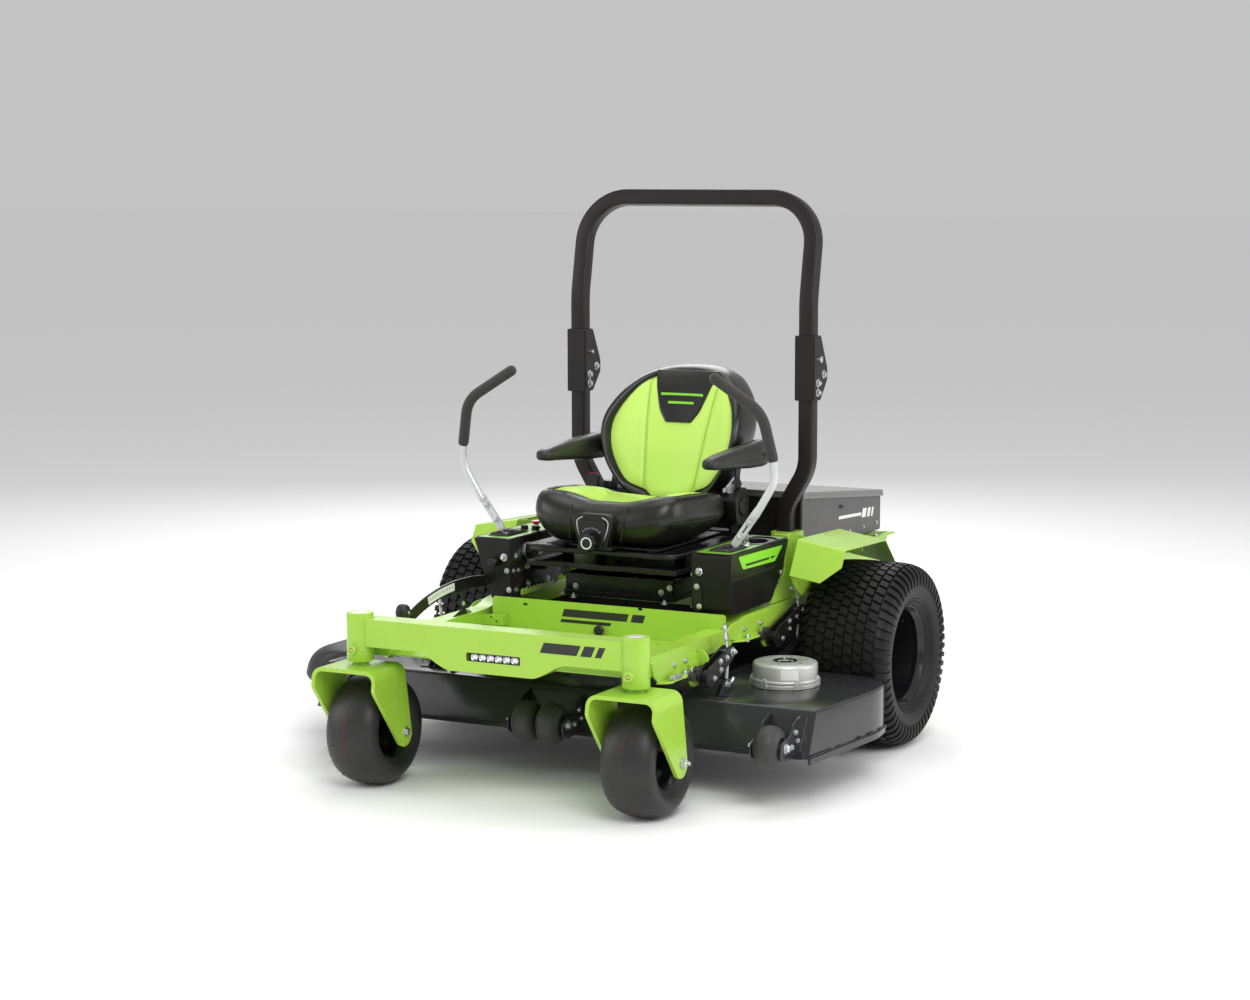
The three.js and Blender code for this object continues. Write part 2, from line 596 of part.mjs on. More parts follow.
// The plan outline of the deck, counter-clockwise; frontY sets the front edge.
function deckOutline(frontY) {
  const left = [[835, frontY], [866, -600], [875, -490], [860, -400], [800, -336], [720, -317]];
  left.push([560, -315], [440, -313], [260, -312], [180, -268], [90, -246]);
  const right = [[-90, -246], [-180, -268], [-260, -312], [-440, -313], [-560, -315], [-720, -317]];
  right.push([-800, -340], [-846, -395], [-846, -600], [-835, frontY]);
  return [...left, ...right];
}

// The same outline moved inward by a wall thickness.
function inset(outline, wall) {
  const n = outline.length;
  return outline.map(([x, y], i) => {
    const [px, py] = outline[(i + n - 1) % n];
    const [nx, ny] = outline[(i + 1) % n];
    const a = new THREE.Vector2(x - px, y - py).normalize();
    const b = new THREE.Vector2(nx - x, ny - y).normalize();
    const normal = new THREE.Vector2(-a.y - b.y, a.x + b.x).normalize();
    const reach = wall / Math.max(0.5, normal.dot(new THREE.Vector2(-a.y, a.x)));
    return [x + normal.x * reach, y + normal.y * reach];
  });
}

function levelSlab(low, lowZ, high, highZ) {
  const ring = (outline, z) => outline.map(([x, y]) => point(x, y, z));
  return loftFlat(ring(low, lowZ), ring(high, highZ));
}

// A two-ring skin whose ends are triangulated, so that the outline may be hollow-sided.
function loftFlat(low, high) {
  const flat = low.map((p) => new THREE.Vector2(p.x, p.y));
  const faces = THREE.ShapeUtils.triangulateShape(flat, []);
  const positions = [];
  const push = (...points) => points.forEach((p) => positions.push(p.x, p.y, p.z));
  for (let j = 0; j < low.length; j++) {
    const k = (j + 1) % low.length;
    push(low[j], low[k], high[k]);
    push(low[j], high[k], high[j]);
  }
  faces.forEach(([a, b, c]) => push(low[c], low[b], low[a]));
  faces.forEach(([a, b, c]) => push(high[a], high[b], high[c]));
  const geometry = new THREE.BufferGeometry();
  return solid(geometry.setAttribute("position", new THREE.Float32BufferAttribute(positions, 3)));
}

// A bracket cheek that stands on the leaning front wall and holds a roller axle.
function rollerCheek(x0, x1) {
  const outline = [[-1014, 168], [-1000, 156], [-910, 156], [-882, 220], [-960, 220], [-1014, 206]];
  return prism("x", outline, x0, x1);
}

function deckShell() {
  const { top, bottom, wall, frontTop, frontBottom } = DECK;
  const high = deckOutline(frontTop);
  const low = deckOutline(frontBottom);
  const outer = levelSlab(low, bottom, high, top);
  const slope = (frontTop - frontBottom) / (top - bottom);
  const lowIn = inset(deckOutline(frontBottom - slope), wall);
  const highIn = inset(deckOutline(frontTop - slope * (wall + 1)), wall);
  const inner = levelSlab(lowIn, bottom - 1, highIn, top - wall - 1);
  const { side, centre } = SPINDLES;
  const spindles = [[side.x, side.y], [centre.x, centre.y], [-side.x, side.y]];
  const holes = spindles.map(([x, y]) => bar("z", top - 20, top + 1, x, y, 30, 12));
  const mouth = box(-900, -825, -745, -415, bottom - 2, top - 14);
  const middles = [ROLLER.left, ROLLER.right];
  const cheeks = [-89, 89, ...middles.flatMap((x) => [x - 44, x + 44])];
  const mounts = cheeks.map((x) => rollerCheek(x - 3, x + 3));
  const spans = [[-92, 92], ...middles.map((x) => [x - 47, x + 47])];
  const pins = spans.map(([a, b]) => bar("x", a, b, ROLLER.y, ROLLER.z, ROLLER.axle, 12));
  const ears = [1, -1].flatMap(liftEars);
  const strip = prism("z", [[834, -885], [842, -885], [873, -602], [864, -600]], 131, 155);
  const shell = cut(outer, inner, ...holes, mouth);
  add("deck_shell", join(shell, strip, ...mounts, ...pins, ...ears), BLACK);
}

// The two upright ears on the deck top that the lift arms reach on one side.
function liftEars(side) {
  const foot = DECK.top - 2;
  const front = [[-800, foot], [-706, foot], [-730, 318], [-770, 318]];
  const rear = [[-420, foot], [-320, foot], [-140, 318], [-150, 345], [-180, 345], [-400, 296]];
  return [[front, LIFT_FRONT], [rear, LIFT_REAR]].map(([outline, lift]) => {
    const x = side * lift.armX;
    return prism("x", outline, x - 5, x + 5);
  });
}

// A blade motor: a low ribbed can bolted to the deck top.
function deckMotor(name, x, y) {
  const profile = [[0, 0], [104, 0], [104, 10], [98, 14], [98, 62], [88, 74], [0, 74]];
  const group = groupAt(x, y, DECK.top + GAP);
  const can = turned("z", profile, 0, 0, 0, 24);
  const lugs = [...Array(6).keys()].map((i) => {
    const turn = (i * Math.PI) / 3;
    return bar("z", 0, 30, 101 * Math.cos(turn), 101 * Math.sin(turn), 8, 6);
  });
  add("deck_motor_" + name, join(can, ...lugs), CAST, group);
}

// A blade on its spindle, with lifted trailing edges at the tips.
function blade(name, x, y, reach, along) {
  const group = groupAt(x, y, 0);
  const { z, thick, half, lift } = BLADE;
  const flat = box(-reach, reach, -half, half, z, z + thick);
  const wings = [1, -1].map((s) => {
    const out = s * (half + 14);
    const wing = [[s * half, z], [s * half, z + thick], [out, z + lift + thick], [out, z + lift]];
    return prism("x", wing, s * reach * 0.6, s * reach * 0.92);
  });
  const spindle = bar("z", z - 8, DECK.top, 0, 0, 15, 10);
  const hub = bar("z", z + thick, z + 40, 0, 0, 26, 10);
  group.rotation.z = along;
  add("blade_" + name, join(flat, spindle, hub, ...wings), STEEL, group);
}

function roller(name, x) {
  const { y, z, radius, width, axle } = ROLLER;
  const h = width / 2;
  const profile = [[axle + 1, -h], [44, -h + 2], [radius, -h * 0.3]];
  const mirrored = profile.map(([r, a]) => [r, -a]).reverse();
  add("roller_" + name, turned("x", [...profile, ...mirrored, profile[0]], x, y, z, 16), RUBBER);
}

// The moulded discharge chute, hinged along the right edge of the deck.
function dischargeChute() {
  const skin = [[-848, 288], [-930, 286], [-990, 272], [-1035, 245], [-1058, 213]];
  const under = [[-1051, 211], [-1029, 240], [-987, 266], [-929, 279.5], [-848, 281.5]];
  const body = prism("y", [...skin, ...under], -720, -330);
  const corner = [[-1070, -725], [-955, -725], [-1070, -610]];
  add("discharge_chute", cut(body, prism("z", corner, 150, 320)), RUBBER);
}

// Deck lift --------------------------------------------------------------------------------------------

// A cross shaft with a lifting arm at each end.
function liftShaft(name, { y, z, pinY, pinZ, armX }) {
  const shaft = bar("x", -armX - 12, armX + 12, y, z, 11, 10);
  const arms = [1, -1].map((side) => {
    const dy = pinY - y;
    const dz = pinZ - z;
    const length = Math.hypot(dy, dz);
    const across = [(-dz / length) * 18, (dy / length) * 18];
    const outline = [[y + across[0], z + across[1]], [y - across[0], z - across[1]]];
    outline.push([pinY - across[0], pinZ - across[1]], [pinY + 16, pinZ]);
    outline.push([pinY + across[0], pinZ + across[1]]);
    return prism("x", outline, side * armX - 5, side * armX + 5);
  });
  const collars = [1, -1].map((side) => {
    const x = side * (armX - 18);
    return bar("x", x - 7, x + 7, y, z, 20, 10);
  });
  add("lift_shaft_" + name, join(shaft, ...arms, ...collars), BLACK);
}

// The curved scale plate for the cutting height, from the right rail to the right pod.
function heightDial() {
  const { x, thick, width } = DIAL;
  const curve = new THREE.QuadraticBezierCurve(
    new THREE.Vector2(-1062, 478), new THREE.Vector2(-880, 564), new THREE.Vector2(POD.front - GAP, 532));
  const middle = curve.getPoints(10);
  const edge = (sign) => middle.map((p, i) => {
    const slope = curve.getTangent(i / 10);
    return [p.x - (sign * slope.y * width) / 2, p.y + (sign * slope.x * width) / 2];
  });
  const last = (points) => points.map(([a, b]) => [Math.min(a, POD.front - GAP), b]);
  const arc = prism("x", [...last(edge(1)), ...last(edge(-1)).reverse()], x - thick / 2, x + thick / 2);
  const foot = box(x - thick / 2, x + thick / 2, -1085, -1045, RAIL.lowTop + GAP, 490);
  add("height_dial", join(arc, foot), BLACK);
}

// The pointer that runs along the right rail under the scale.
function heightPointer() {
  const x = DIAL.x + DIAL.thick / 2 + 1;
  const z = RAIL.lowTop + GAP;
  const outline = [[-815, z], [-703, z], [-748, z + 18], [-750, z + 60], [-746, z + 62], [-754, z + 82]];
  outline.push([-762, z + 62], [-758, z + 60], [-760, z + 18]);
  add("height_pointer", prism("x", outline, x, x + 5), GREEN);
}

// Assembly ---------------------------------------------------------------------------------------------

const SIDES = [[1, "left"], [-1, "right"]];
frontBeam();
ledBar();
floorPanel();
driveHousing();
rearFrame();
controlPodLeft();
controlPodRight();
for (const [side, name] of SIDES) {
  casterFork(side, name);
  casterRim(side, name);
  tyre("caster_tyre_" + name, RUBBER, side * CASTER.x, CASTER.y + CASTER.trail, CASTER, 22);
  rearRim(side, name);
  tyre("drive_tyre_" + name, RUBBER, side * REAR.x, 0, REAR, 24);
  wheelMotor(side, name);
  rail(side, name);
  ropsPost(side, name);
  fender(side, name);
  leverBase(side, name);
  lapBar(side, name);
  armrest(side, name);
}
ropsHoop();
ptoKnob();
seatBase();
seatSuspension();
seatPan();
seatCushion();
seatBackrest();
weightKnob();
batteryBox();
batteryLid();
deckShell();
deckMotor("left", SPINDLES.side.x, SPINDLES.side.y);
deckMotor("centre", SPINDLES.centre.x, SPINDLES.centre.y);
deckMotor("right", -SPINDLES.side.x, SPINDLES.side.y);
blade("left", SPINDLES.side.x, SPINDLES.side.y, SPINDLES.side.reach, Math.PI / 2);
blade("centre", SPINDLES.centre.x, SPINDLES.centre.y, SPINDLES.centre.reach, 0);
blade("right", -SPINDLES.side.x, SPINDLES.side.y, SPINDLES.side.reach, Math.PI / 2);
roller("left", ROLLER.left);
roller("centre_left", ROLLER.width / 2 + 3);
roller("centre_right", -ROLLER.width / 2 - 3);
roller("right", ROLLER.right);
dischargeChute();
liftShaft("front", LIFT_FRONT);
liftShaft("rear", LIFT_REAR);
heightDial();
heightPointer();

// Stand the mower on its tyres, with the origin at the bottom centre of its bounding box.
mower.updateMatrixWorld(true);
const bounds = new THREE.Box3().setFromObject(mower, true);
const middle = bounds.getCenter(new THREE.Vector3());
mower.position.set(-middle.x, -middle.y, -bounds.min.z);

export default mower;
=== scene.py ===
import math
import random

import bmesh
import bpy
from mathutils import Matrix, Vector


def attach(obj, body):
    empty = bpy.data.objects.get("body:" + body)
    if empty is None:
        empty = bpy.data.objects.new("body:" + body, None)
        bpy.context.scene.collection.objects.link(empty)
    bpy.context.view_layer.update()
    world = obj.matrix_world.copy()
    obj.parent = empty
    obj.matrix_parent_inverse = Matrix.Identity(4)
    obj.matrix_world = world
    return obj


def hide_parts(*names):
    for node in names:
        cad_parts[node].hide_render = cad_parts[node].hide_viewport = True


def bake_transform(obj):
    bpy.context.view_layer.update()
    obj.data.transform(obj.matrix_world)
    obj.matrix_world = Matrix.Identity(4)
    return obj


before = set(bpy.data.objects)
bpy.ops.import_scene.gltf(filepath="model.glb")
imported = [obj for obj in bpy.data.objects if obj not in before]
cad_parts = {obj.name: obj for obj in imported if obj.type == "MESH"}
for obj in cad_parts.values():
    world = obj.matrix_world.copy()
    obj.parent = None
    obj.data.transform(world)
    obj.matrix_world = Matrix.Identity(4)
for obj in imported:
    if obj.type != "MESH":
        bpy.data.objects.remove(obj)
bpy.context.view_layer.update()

SHIFT = Vector((91.5, 287.5, 0))
SIDES = ((1, "left"), (-1, "right"))
random.seed(7)


def row(p):
    return (Vector(p) + SHIFT) / 1000


# Shapes --------------------------------------------------------------------------------------


class Shape:
    """Points and faces gathered in working millimetres before they become one mesh."""

    def __init__(self):
        self.points = []
        self.faces = []
        self.turn = Matrix.Identity(4)

    def put(self, points, faces):
        start = len(self.points)
        self.points += [self.turn @ Vector(p) for p in points]
        self.faces += [[start + i for i in f] for f in faces]
        return self

    def box(self, x0, x1, y0, y1, z0, z1):
        points = [(x, y, z) for x in (x0, x1) for y in (y0, y1) for z in (z0, z1)]
        faces = [(0, 1, 3, 2), (4, 6, 7, 5), (0, 4, 5, 1), (2, 3, 7, 6), (0, 2, 6, 4), (1, 5, 7, 3)]
        return self.put(points, faces)

    def prism(self, axis, outline, c0, c1):
        """A flat outline pushed along an axis: x reads (y, z), y reads (x, z), z reads (x, y)."""
        n = len(outline)
        place = {
            "x": lambda a, b, c: (c, a, b),
            "y": lambda a, b, c: (a, c, b),
            "z": lambda a, b, c: (a, b, c),
        }
        points = [place[axis](a, b, c) for c in (c0, c1) for a, b in outline]
        faces = [list(range(n)), list(range(2 * n - 1, n - 1, -1))]
        faces += [(i, (i + 1) % n, n + (i + 1) % n, n + i) for i in range(n)]
        return self.put(points, faces)

    def loft(self, rings, cap=True, loop=False):
        """A skin through rings of equal length; loop joins the last ring to the first."""
        n = len(rings[0])
        points = [p for ring in rings for p in ring]
        faces = []
        for i in range(len(rings) if loop else len(rings) - 1):
            a, b = i * n, ((i + 1) % len(rings)) * n
            faces += [(a + j, a + (j + 1) % n, b + (j + 1) % n, b + j) for j in range(n)]
        if cap and not loop:
            last = (len(rings) - 1) * n
            faces += [list(range(n))[::-1], [last + j for j in range(n)]]
        return self.put(points, faces)

    def sheet(self, rows):
        """An open skin through rows of equal length."""
        n = len(rows[0])
        points = [p for line in rows for p in line]
        faces = [(i * n + j, i * n + j + 1, (i + 1) * n + j + 1, (i + 1) * n + j)
                 for i in range(len(rows) - 1) for j in range(n - 1)]
        return self.put(points, faces)

    def lathe(self, axis, profile, centre, sides=48):
        """A profile of (radius, height) turned round an axis through a point."""
        c = Vector(centre)
        rings = []
        for i in range(sides):
            turn = 2 * math.pi * i / sides
            u, v = math.cos(turn), math.sin(turn)
            if axis == "x":
                rings.append([c + Vector((h, r * u, r * v)) for r, h in profile])
            elif axis == "y":
                rings.append([c + Vector((r * v, h, r * u)) for r, h in profile])
            else:
                rings.append([c + Vector((r * u, r * v, h)) for r, h in profile])
        return self.loft(rings, loop=True)

    def sweep(self, path, section, reference, loop=False):
        """A section of (a, b) points carried along a path, a held along the reference."""
        rings = []
        n = len(path)
        for i, p in enumerate(path):
            before = path[(i - 1) % n] if loop else path[max(i - 1, 0)]
            after = path[(i + 1) % n] if loop else path[min(i + 1, n - 1)]
            along = (Vector(after) - Vector(before)).normalized()
            u = (Vector(reference) - along * along.dot(Vector(reference))).normalized()
            v = along.cross(u)
            rings.append([Vector(p) + u * a + v * b for a, b in section])
        return self.loft(rings, loop=loop)

    def tube(self, path, radius, sides=14, loop=False):
        """A round bar along a path, whose radius may be a number or one for each point."""
        along = (Vector(path[-1 if not loop else len(path) // 2]) - Vector(path[0])).normalized()
        reference = Vector((0, 0, 1)) if abs(along.z) < 0.8 else Vector((0, 1, 0))
        radii = radius if isinstance(radius, list) else [radius] * len(path)
        rings = []
        n = len(path)
        u = None
        for i, p in enumerate(path):
            before = path[(i - 1) % n] if loop else path[max(i - 1, 0)]
            after = path[(i + 1) % n] if loop else path[min(i + 1, n - 1)]
            along = (Vector(after) - Vector(before)).normalized()
            base = reference if u is None else u
            u = (base - along * along.dot(base)).normalized()
            v = along.cross(u)
            turns = [2 * math.pi * k / sides for k in range(sides)]
            rings.append([Vector(p) + (u * math.cos(t) + v * math.sin(t)) * radii[i] for t in turns])
        return self.loft(rings, loop=loop)

    def bar(self, a, b, radius, sides=24):
        """A straight round bar with softened ends."""
        a, b = Vector(a), Vector(b)
        soft = min(1.2, radius * 0.2)
        step = (b - a).normalized() * soft
        return self.tube([a, a + step, b - step, b], [radius - soft, radius, radius, radius - soft], sides)

    def nut(self, at, along, size=10, deep=6, washer=True, stud=0):
        """A hexagon head on a washer, with an optional stud end standing out of it."""
        at, along = Vector(at), Vector(along).normalized()
        if washer:
            self.tube([at, at + along * 1.6], size * 0.82, 20)
            at = at + along * 1.6
        r = size * 0.58
        rounds = [(0, r), (deep * 0.82, r), (deep, r * 0.82)]
        self.tube([at + along * h for h, _ in rounds], [k for _, k in rounds], 6)
        if stud:
            tip = at + along * (deep + stud)
            self.tube([at, tip - along * 1.5, tip], [size * 0.3, size * 0.3, size * 0.22], 12)
        return self

    def thread(self, a, b, radius, pitch=1.75):
        """A threaded stud, as a bar with a ridge for each turn."""
        a, b = Vector(a), Vector(b)
        length = (b - a).length
        along = (b - a).normalized()
        count = int(length / pitch)
        path, radii = [], []
        for i in range(count):
            for k, r in ((0, 0.86), (0.5, 1.0)):
                path.append(a + along * (i + k) * length / count)
                radii.append(radius * r)
        path.append(b)
        radii.append(radius * 0.8)
        return self.tube(path, radii, 14)

    def weld(self, path, radius=3.2):
        """A weld bead: overlapping ripples along a path."""
        path = resample([Vector(p) for p in path], radius * 0.55)
        radii = [radius * (0.82 + 0.2 * abs(math.sin(i * 0.9)) + 0.06 * random.random())
                 for i in range(len(path))]
        radii[0] = radii[-1] = radius * 0.3
        return self.tube(path, radii, 8)


def resample(path, step):
    """The same polyline with a point every step."""
    out = [path[0]]
    for a, b in zip(path, path[1:]):
        count = max(1, round((b - a).length / step))
        out += [a.lerp(b, (i + 1) / count) for i in range(count)]
    return out


def rounded(points, reach, steps=8):
    """A polyline with each inner corner rounded from `reach` before it."""
    points = [Vector(p) for p in points]
    path = [points[0]]
    for before, corner, after in zip(points, points[1:], points[2:]):
        a = corner.lerp(before, reach / (before - corner).length)
        b = corner.lerp(after, reach / (after - corner).length)
        for i in range(steps + 1):
            t = i / steps
            path.append(a * (1 - t) ** 2 + corner * 2 * t * (1 - t) + b * t**2)
    path.append(points[-1])
    return path


def round_corners(outline, reach, steps=5):
    """A closed flat outline with every corner rounded."""
    out = []
    n = len(outline)
    for i in range(n):
        before, corner, after = (Vector(outline[(i + k) % n]) for k in (-1, 0, 1))
        r = min(reach, (before - corner).length * 0.45, (after - corner).length * 0.45)
        a = corner.lerp(before, r / (before - corner).length)
        b = corner.lerp(after, r / (after - corner).length)
        for k in range(steps + 1):
            t = k / steps
            p = a * (1 - t) ** 2 + corner * 2 * t * (1 - t) + b * t**2
            out.append((p.x, p.y))
    return out


def arc(cx, cy, radius, start, end, steps):
    turns = [math.radians(start + (end - start) * i / steps) for i in range(steps + 1)]
    return [(cx + radius * math.cos(t), cy + radius * math.sin(t)) for t in turns]


def square_section(width, corner=9, steps=4):
    h = width / 2
    out = []
    for cx, cy, start in ((1, 1, 0), (-1, 1, 90), (-1, -1, 180), (1, -1, 270)):
        out += arc(cx * (h - corner), cy * (h - corner), corner, start, start + 90, steps)
    return out


# Pieces --------------------------------------------------------------------------------------


def make(name, shape, body, look, bevel=0.0, smooth=32, replaces=(), segments=2):
    """Turns a shape into a mesh that rides on a body in one finish, with its edges broken."""
    mesh = bpy.data.meshes.new(name)
    mesh.from_pydata([row(p) for p in shape.points], [], shape.faces)
    bm = bmesh.new()
    bm.from_mesh(mesh)
    bmesh.ops.remove_doubles(bm, verts=bm.verts, dist=2e-6)
    bmesh.ops.dissolve_degenerate(bm, edges=bm.edges, dist=1e-6)
    bmesh.ops.recalc_face_normals(bm, faces=bm.faces)
    bm.to_mesh(mesh)
    bm.free()
    o = bpy.data.objects.new(name, mesh)
    bpy.context.scene.collection.objects.link(o)
    mesh.shade_smooth()
    if bevel:
        m = o.modifiers.new("edges", "BEVEL")
        m.width = bevel / 1000
        m.segments = segments
        m.limit_method = "ANGLE"
        m.angle_limit = math.radians(smooth)
        m.harden_normals = True
        m.use_clamp_overlap = True
    else:
        mesh.set_sharp_from_angle(angle=math.radians(smooth))
    finish_piece(o, body, look, replaces)
    return o


def finish_piece(o, body, look, replaces=()):
    material, slot = LOOKS[look]
    o.data.materials.append(material)
    if body:
        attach(o, body)
    if replaces:
        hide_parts(*replaces)


def carve(o, *shapes):
    """Cuts closed shapes out of a piece, before its other modifiers."""
    for shape in shapes:
        mesh = bpy.data.meshes.new("cutter")
        mesh.from_pydata([row(p) for p in shape.points], [], shape.faces)
        bm = bmesh.new()
        bm.from_mesh(mesh)
        bmesh.ops.remove_doubles(bm, verts=bm.verts, dist=2e-6)
        bmesh.ops.recalc_face_normals(bm, faces=bm.faces)
        bm.to_mesh(mesh)
        bm.free()
        cutter = bpy.data.objects.new("cutter", mesh)
        bpy.context.scene.collection.objects.link(cutter)
        m = o.modifiers.new("cut", "BOOLEAN")
        m.operation = "DIFFERENCE"
        m.solver = "EXACT"
        m.object = cutter
        with bpy.context.temp_override(object=o, active_object=o, selected_objects=[o]):
            bpy.ops.object.modifier_move_to_index(modifier=m.name, index=0)
            bpy.ops.object.modifier_apply(modifier=m.name)
        bpy.data.objects.remove(cutter)
    o.data.shade_smooth()
    if not any(m.type == "BEVEL" for m in o.modifiers):
        o.data.set_sharp_from_angle(angle=math.radians(32))
    return o


# Finishes ------------------------------------------------------------------------------------

LOOKS = {}


def look(name, slot, color, rough, metal=0.0, coat=0.0, mottle=0.0, grains=(), rough_mottle=0.06, sheen=0.0,
         mottle_scale=9, shine=0.5):
    """A procedural finish. grains is a list of (kind, scale, strength, distance) bumps."""
    m = bpy.data.materials.new(name)
    m.use_nodes = True
    nodes, links = m.node_tree.nodes, m.node_tree.links
    shader = nodes["Principled BSDF"]
    shader.inputs["Metallic"].default_value = metal
    shader.inputs["Specular IOR Level"].default_value = shine
    shader.inputs["Coat Weight"].default_value = coat
    shader.inputs["Coat Roughness"].default_value = 0.12
    shader.inputs["Sheen Weight"].default_value = sheen
    shader.inputs["Base Color"].default_value = (*color, 1)
    shader.inputs["Roughness"].default_value = rough
    place = nodes.new("ShaderNodeTexCoord").outputs["Object"]
    cloud = nodes.new("ShaderNodeTexNoise")
    cloud.inputs["Scale"].default_value = mottle_scale
    cloud.inputs["Detail"].default_value = 6
    cloud.inputs["Roughness"].default_value = 0.6
    links.new(place, cloud.inputs["Vector"])
    if mottle:
        mix = nodes.new("ShaderNodeMix")
        mix.data_type = "RGBA"
        mix.inputs["A"].default_value = (*[c * (1 - mottle) for c in color], 1)
        mix.inputs["B"].default_value = (*[min(1, c * (1 + mottle)) for c in color], 1)
        links.new(cloud.outputs["Fac"], mix.inputs["Factor"])
        links.new(mix.outputs["Result"], shader.inputs["Base Color"])
    if rough_mottle:
        span = nodes.new("ShaderNodeMapRange")
        span.inputs["From Min"].default_value = 0.3
        span.inputs["From Max"].default_value = 0.7
        span.inputs["To Min"].default_value = max(0.02, rough - rough_mottle)
        span.inputs["To Max"].default_value = min(1, rough + rough_mottle)
        links.new(cloud.outputs["Fac"], span.inputs["Value"])
        links.new(span.outputs["Result"], shader.inputs["Roughness"])
    normal = None
    for kind, scale, strength, distance in grains:
        if kind == "cells":
            grain = nodes.new("ShaderNodeTexVoronoi")
            out = grain.outputs["Distance"]
        else:
            grain = nodes.new("ShaderNodeTexNoise")
            grain.inputs["Detail"].default_value = 3
            out = grain.outputs["Fac"]
        grain.inputs["Scale"].default_value = scale
        links.new(place, grain.inputs["Vector"])
        bump = nodes.new("ShaderNodeBump")
        bump.inputs["Strength"].default_value = strength
        bump.inputs["Distance"].default_value = distance
        links.new(out, bump.inputs["Height"])
        if normal:
            links.new(normal, bump.inputs["Normal"])
        normal = bump.outputs["Normal"]
    if normal:
        links.new(normal, shader.inputs["Normal"])
    LOOKS[name] = (m, slot)


ORANGE_PEEL = [("noise", 420, 0.05, 0.0006)]
POWDER = [("noise", 900, 0.12, 0.0005)]
MOULDED = [("noise", 1500, 0.16, 0.0004)]
LEATHER = [("cells", 520, 0.22, 0.0006), ("noise", 60, 0.10, 0.002)]

look("green", "frame_green", (0.36, 0.61, 0.055), 0.30, coat=0.22, mottle=0.03, grains=ORANGE_PEEL)
look("black_paint", "frame_black", (0.010, 0.009, 0.009), 0.36, shine=0.4, mottle=0.15, grains=POWDER)
look("rops_black", "frame_black", (0.012, 0.010, 0.010), 0.42, shine=0.3, mottle=0.12, grains=POWDER)
look("deck_paint", "deck_black", (0.026, 0.026, 0.028), 0.2, coat=0.05, shine=0.38, mottle=0.15,
     grains=POWDER, rough_mottle=0.05)
look("pod_black", "pod_black", (0.007, 0.006, 0.005), 0.36, shine=0.3, mottle=0.15, grains=MOULDED)
# Caster tyre: a lighter copy of the tyre rubber, its base raised as a painted highlight for the shine on its
# shoulders.
look("caster_tyre", "tyre_rubber", (0.019, 0.018, 0.018), 0.44, shine=0.45, mottle=0.2,
     grains=[("noise", 260, 0.15, 0.0008)])
# Drive tyre: a darker copy of the same rubber, its base lowered as painted shade to cancel the rim light on
# its sidewall.
look("tyre", "tyre_rubber", (0.008, 0.0075, 0.0075), 0.5, shine=0.25, mottle=0.2,
     grains=[("noise", 160, 0.2, 0.001), ("noise", 1200, 0.1, 0.0004)])
look("roller", "black_plastic", (0.035, 0.034, 0.034), 0.5, mottle=0.2, grains=[("noise", 220, 0.25, 0.001)])
look("rubber", "black_rubber", (0.016, 0.015, 0.014), 0.42, shine=0.45, mottle=0.15,
     grains=[("noise", 700, 0.25, 0.0006)])
look("foam", "black_rubber", (0.028, 0.026, 0.023), 0.8, mottle=0.12, grains=[("cells", 900, 0.4, 0.0006)],
     sheen=0.2)
look("rim", "rim_black", (0.007, 0.007, 0.008), 0.24, coat=0.15, shine=0.4, mottle=0.1, grains=ORANGE_PEEL)
look("vinyl_black", "seat_vinyl_black", (0.008, 0.008, 0.007), 0.30, mottle=0.12, grains=LEATHER)
look("vinyl_lime", "seat_vinyl_lime", (0.53, 0.80, 0.13), 0.42, mottle=0.03, grains=LEATHER)
look("plastic", "black_plastic", (0.009, 0.008, 0.008), 0.36, shine=0.4, mottle=0.12, grains=MOULDED)
look("gloss_black", "black_plastic", (0.007, 0.007, 0.007), 0.24, mottle=0.1, grains=ORANGE_PEEL, shine=0.4)
# seam: a darker copy of the lime vinyl, painted shade for the seam grooves of the backrest.
look("seam", "seat_vinyl_lime", (0.34, 0.55, 0.08), 0.6, mottle=0.1)
look("zinc", "zinc_steel", (0.66, 0.67, 0.68), 0.3, metal=1, mottle=0.12,
     grains=[("noise", 300, 0.1, 0.0004)], rough_mottle=0.12, mottle_scale=60)
look("yellow_zinc", "zinc_steel", (0.62, 0.50, 0.26), 0.35, metal=1, mottle=0.15, mottle_scale=80)
look("silver", "lever_silver", (0.62, 0.64, 0.66), 0.34, metal=0.35, coat=0.2, grains=ORANGE_PEEL)
look("cast", "cast_aluminium", (0.60, 0.60, 0.58), 0.42, metal=0.65, mottle=0.1,
     grains=[("noise", 700, 0.35, 0.0006)], rough_mottle=0.1, mottle_scale=30)
look("red", "red_plastic", (0.62, 0.02, 0.02), 0.3, coat=0.2)
look("lens", "led_lens", (0.95, 0.97, 1.0), 0.08, coat=0.6)
look("case", "battery_case", (0.05, 0.05, 0.055), 0.5, grains=MOULDED)
look("blade", "blade_steel", (0.33, 0.33, 0.34), 0.38, metal=0.9, mottle=0.2,
     grains=[("noise", 260, 0.15, 0.0006)], mottle_scale=40)
look("white", "scale_white", (0.82, 0.82, 0.80), 0.35)
look("badge", "badge_green", (0.25, 0.72, 0.03), 0.35, coat=0.3)
look("ink", "black_plastic", (0.02, 0.02, 0.02), 0.45)
look("foam_skin", "black_rubber", (0.012, 0.012, 0.011), 0.42, mottle=0.12,
     grains=[("noise", 900, 0.3, 0.0006)])
look("webbing", "seat_vinyl_black", (0.015, 0.015, 0.015), 0.75, mottle=0.15,
     grains=[("cells", 1400, 0.5, 0.0005)])
look("pod_green", "badge_green", (0.20, 0.52, 0.02), 0.32, coat=0.4, mottle=0.05)
look("black_metal", "frame_black", (0.03, 0.03, 0.03), 0.3, metal=0.6, mottle=0.2, mottle_scale=60)
look("box_dark", "frame_black", (0.082, 0.078, 0.080), 0.42, mottle=0.08, grains=POWDER, coat=0.1)
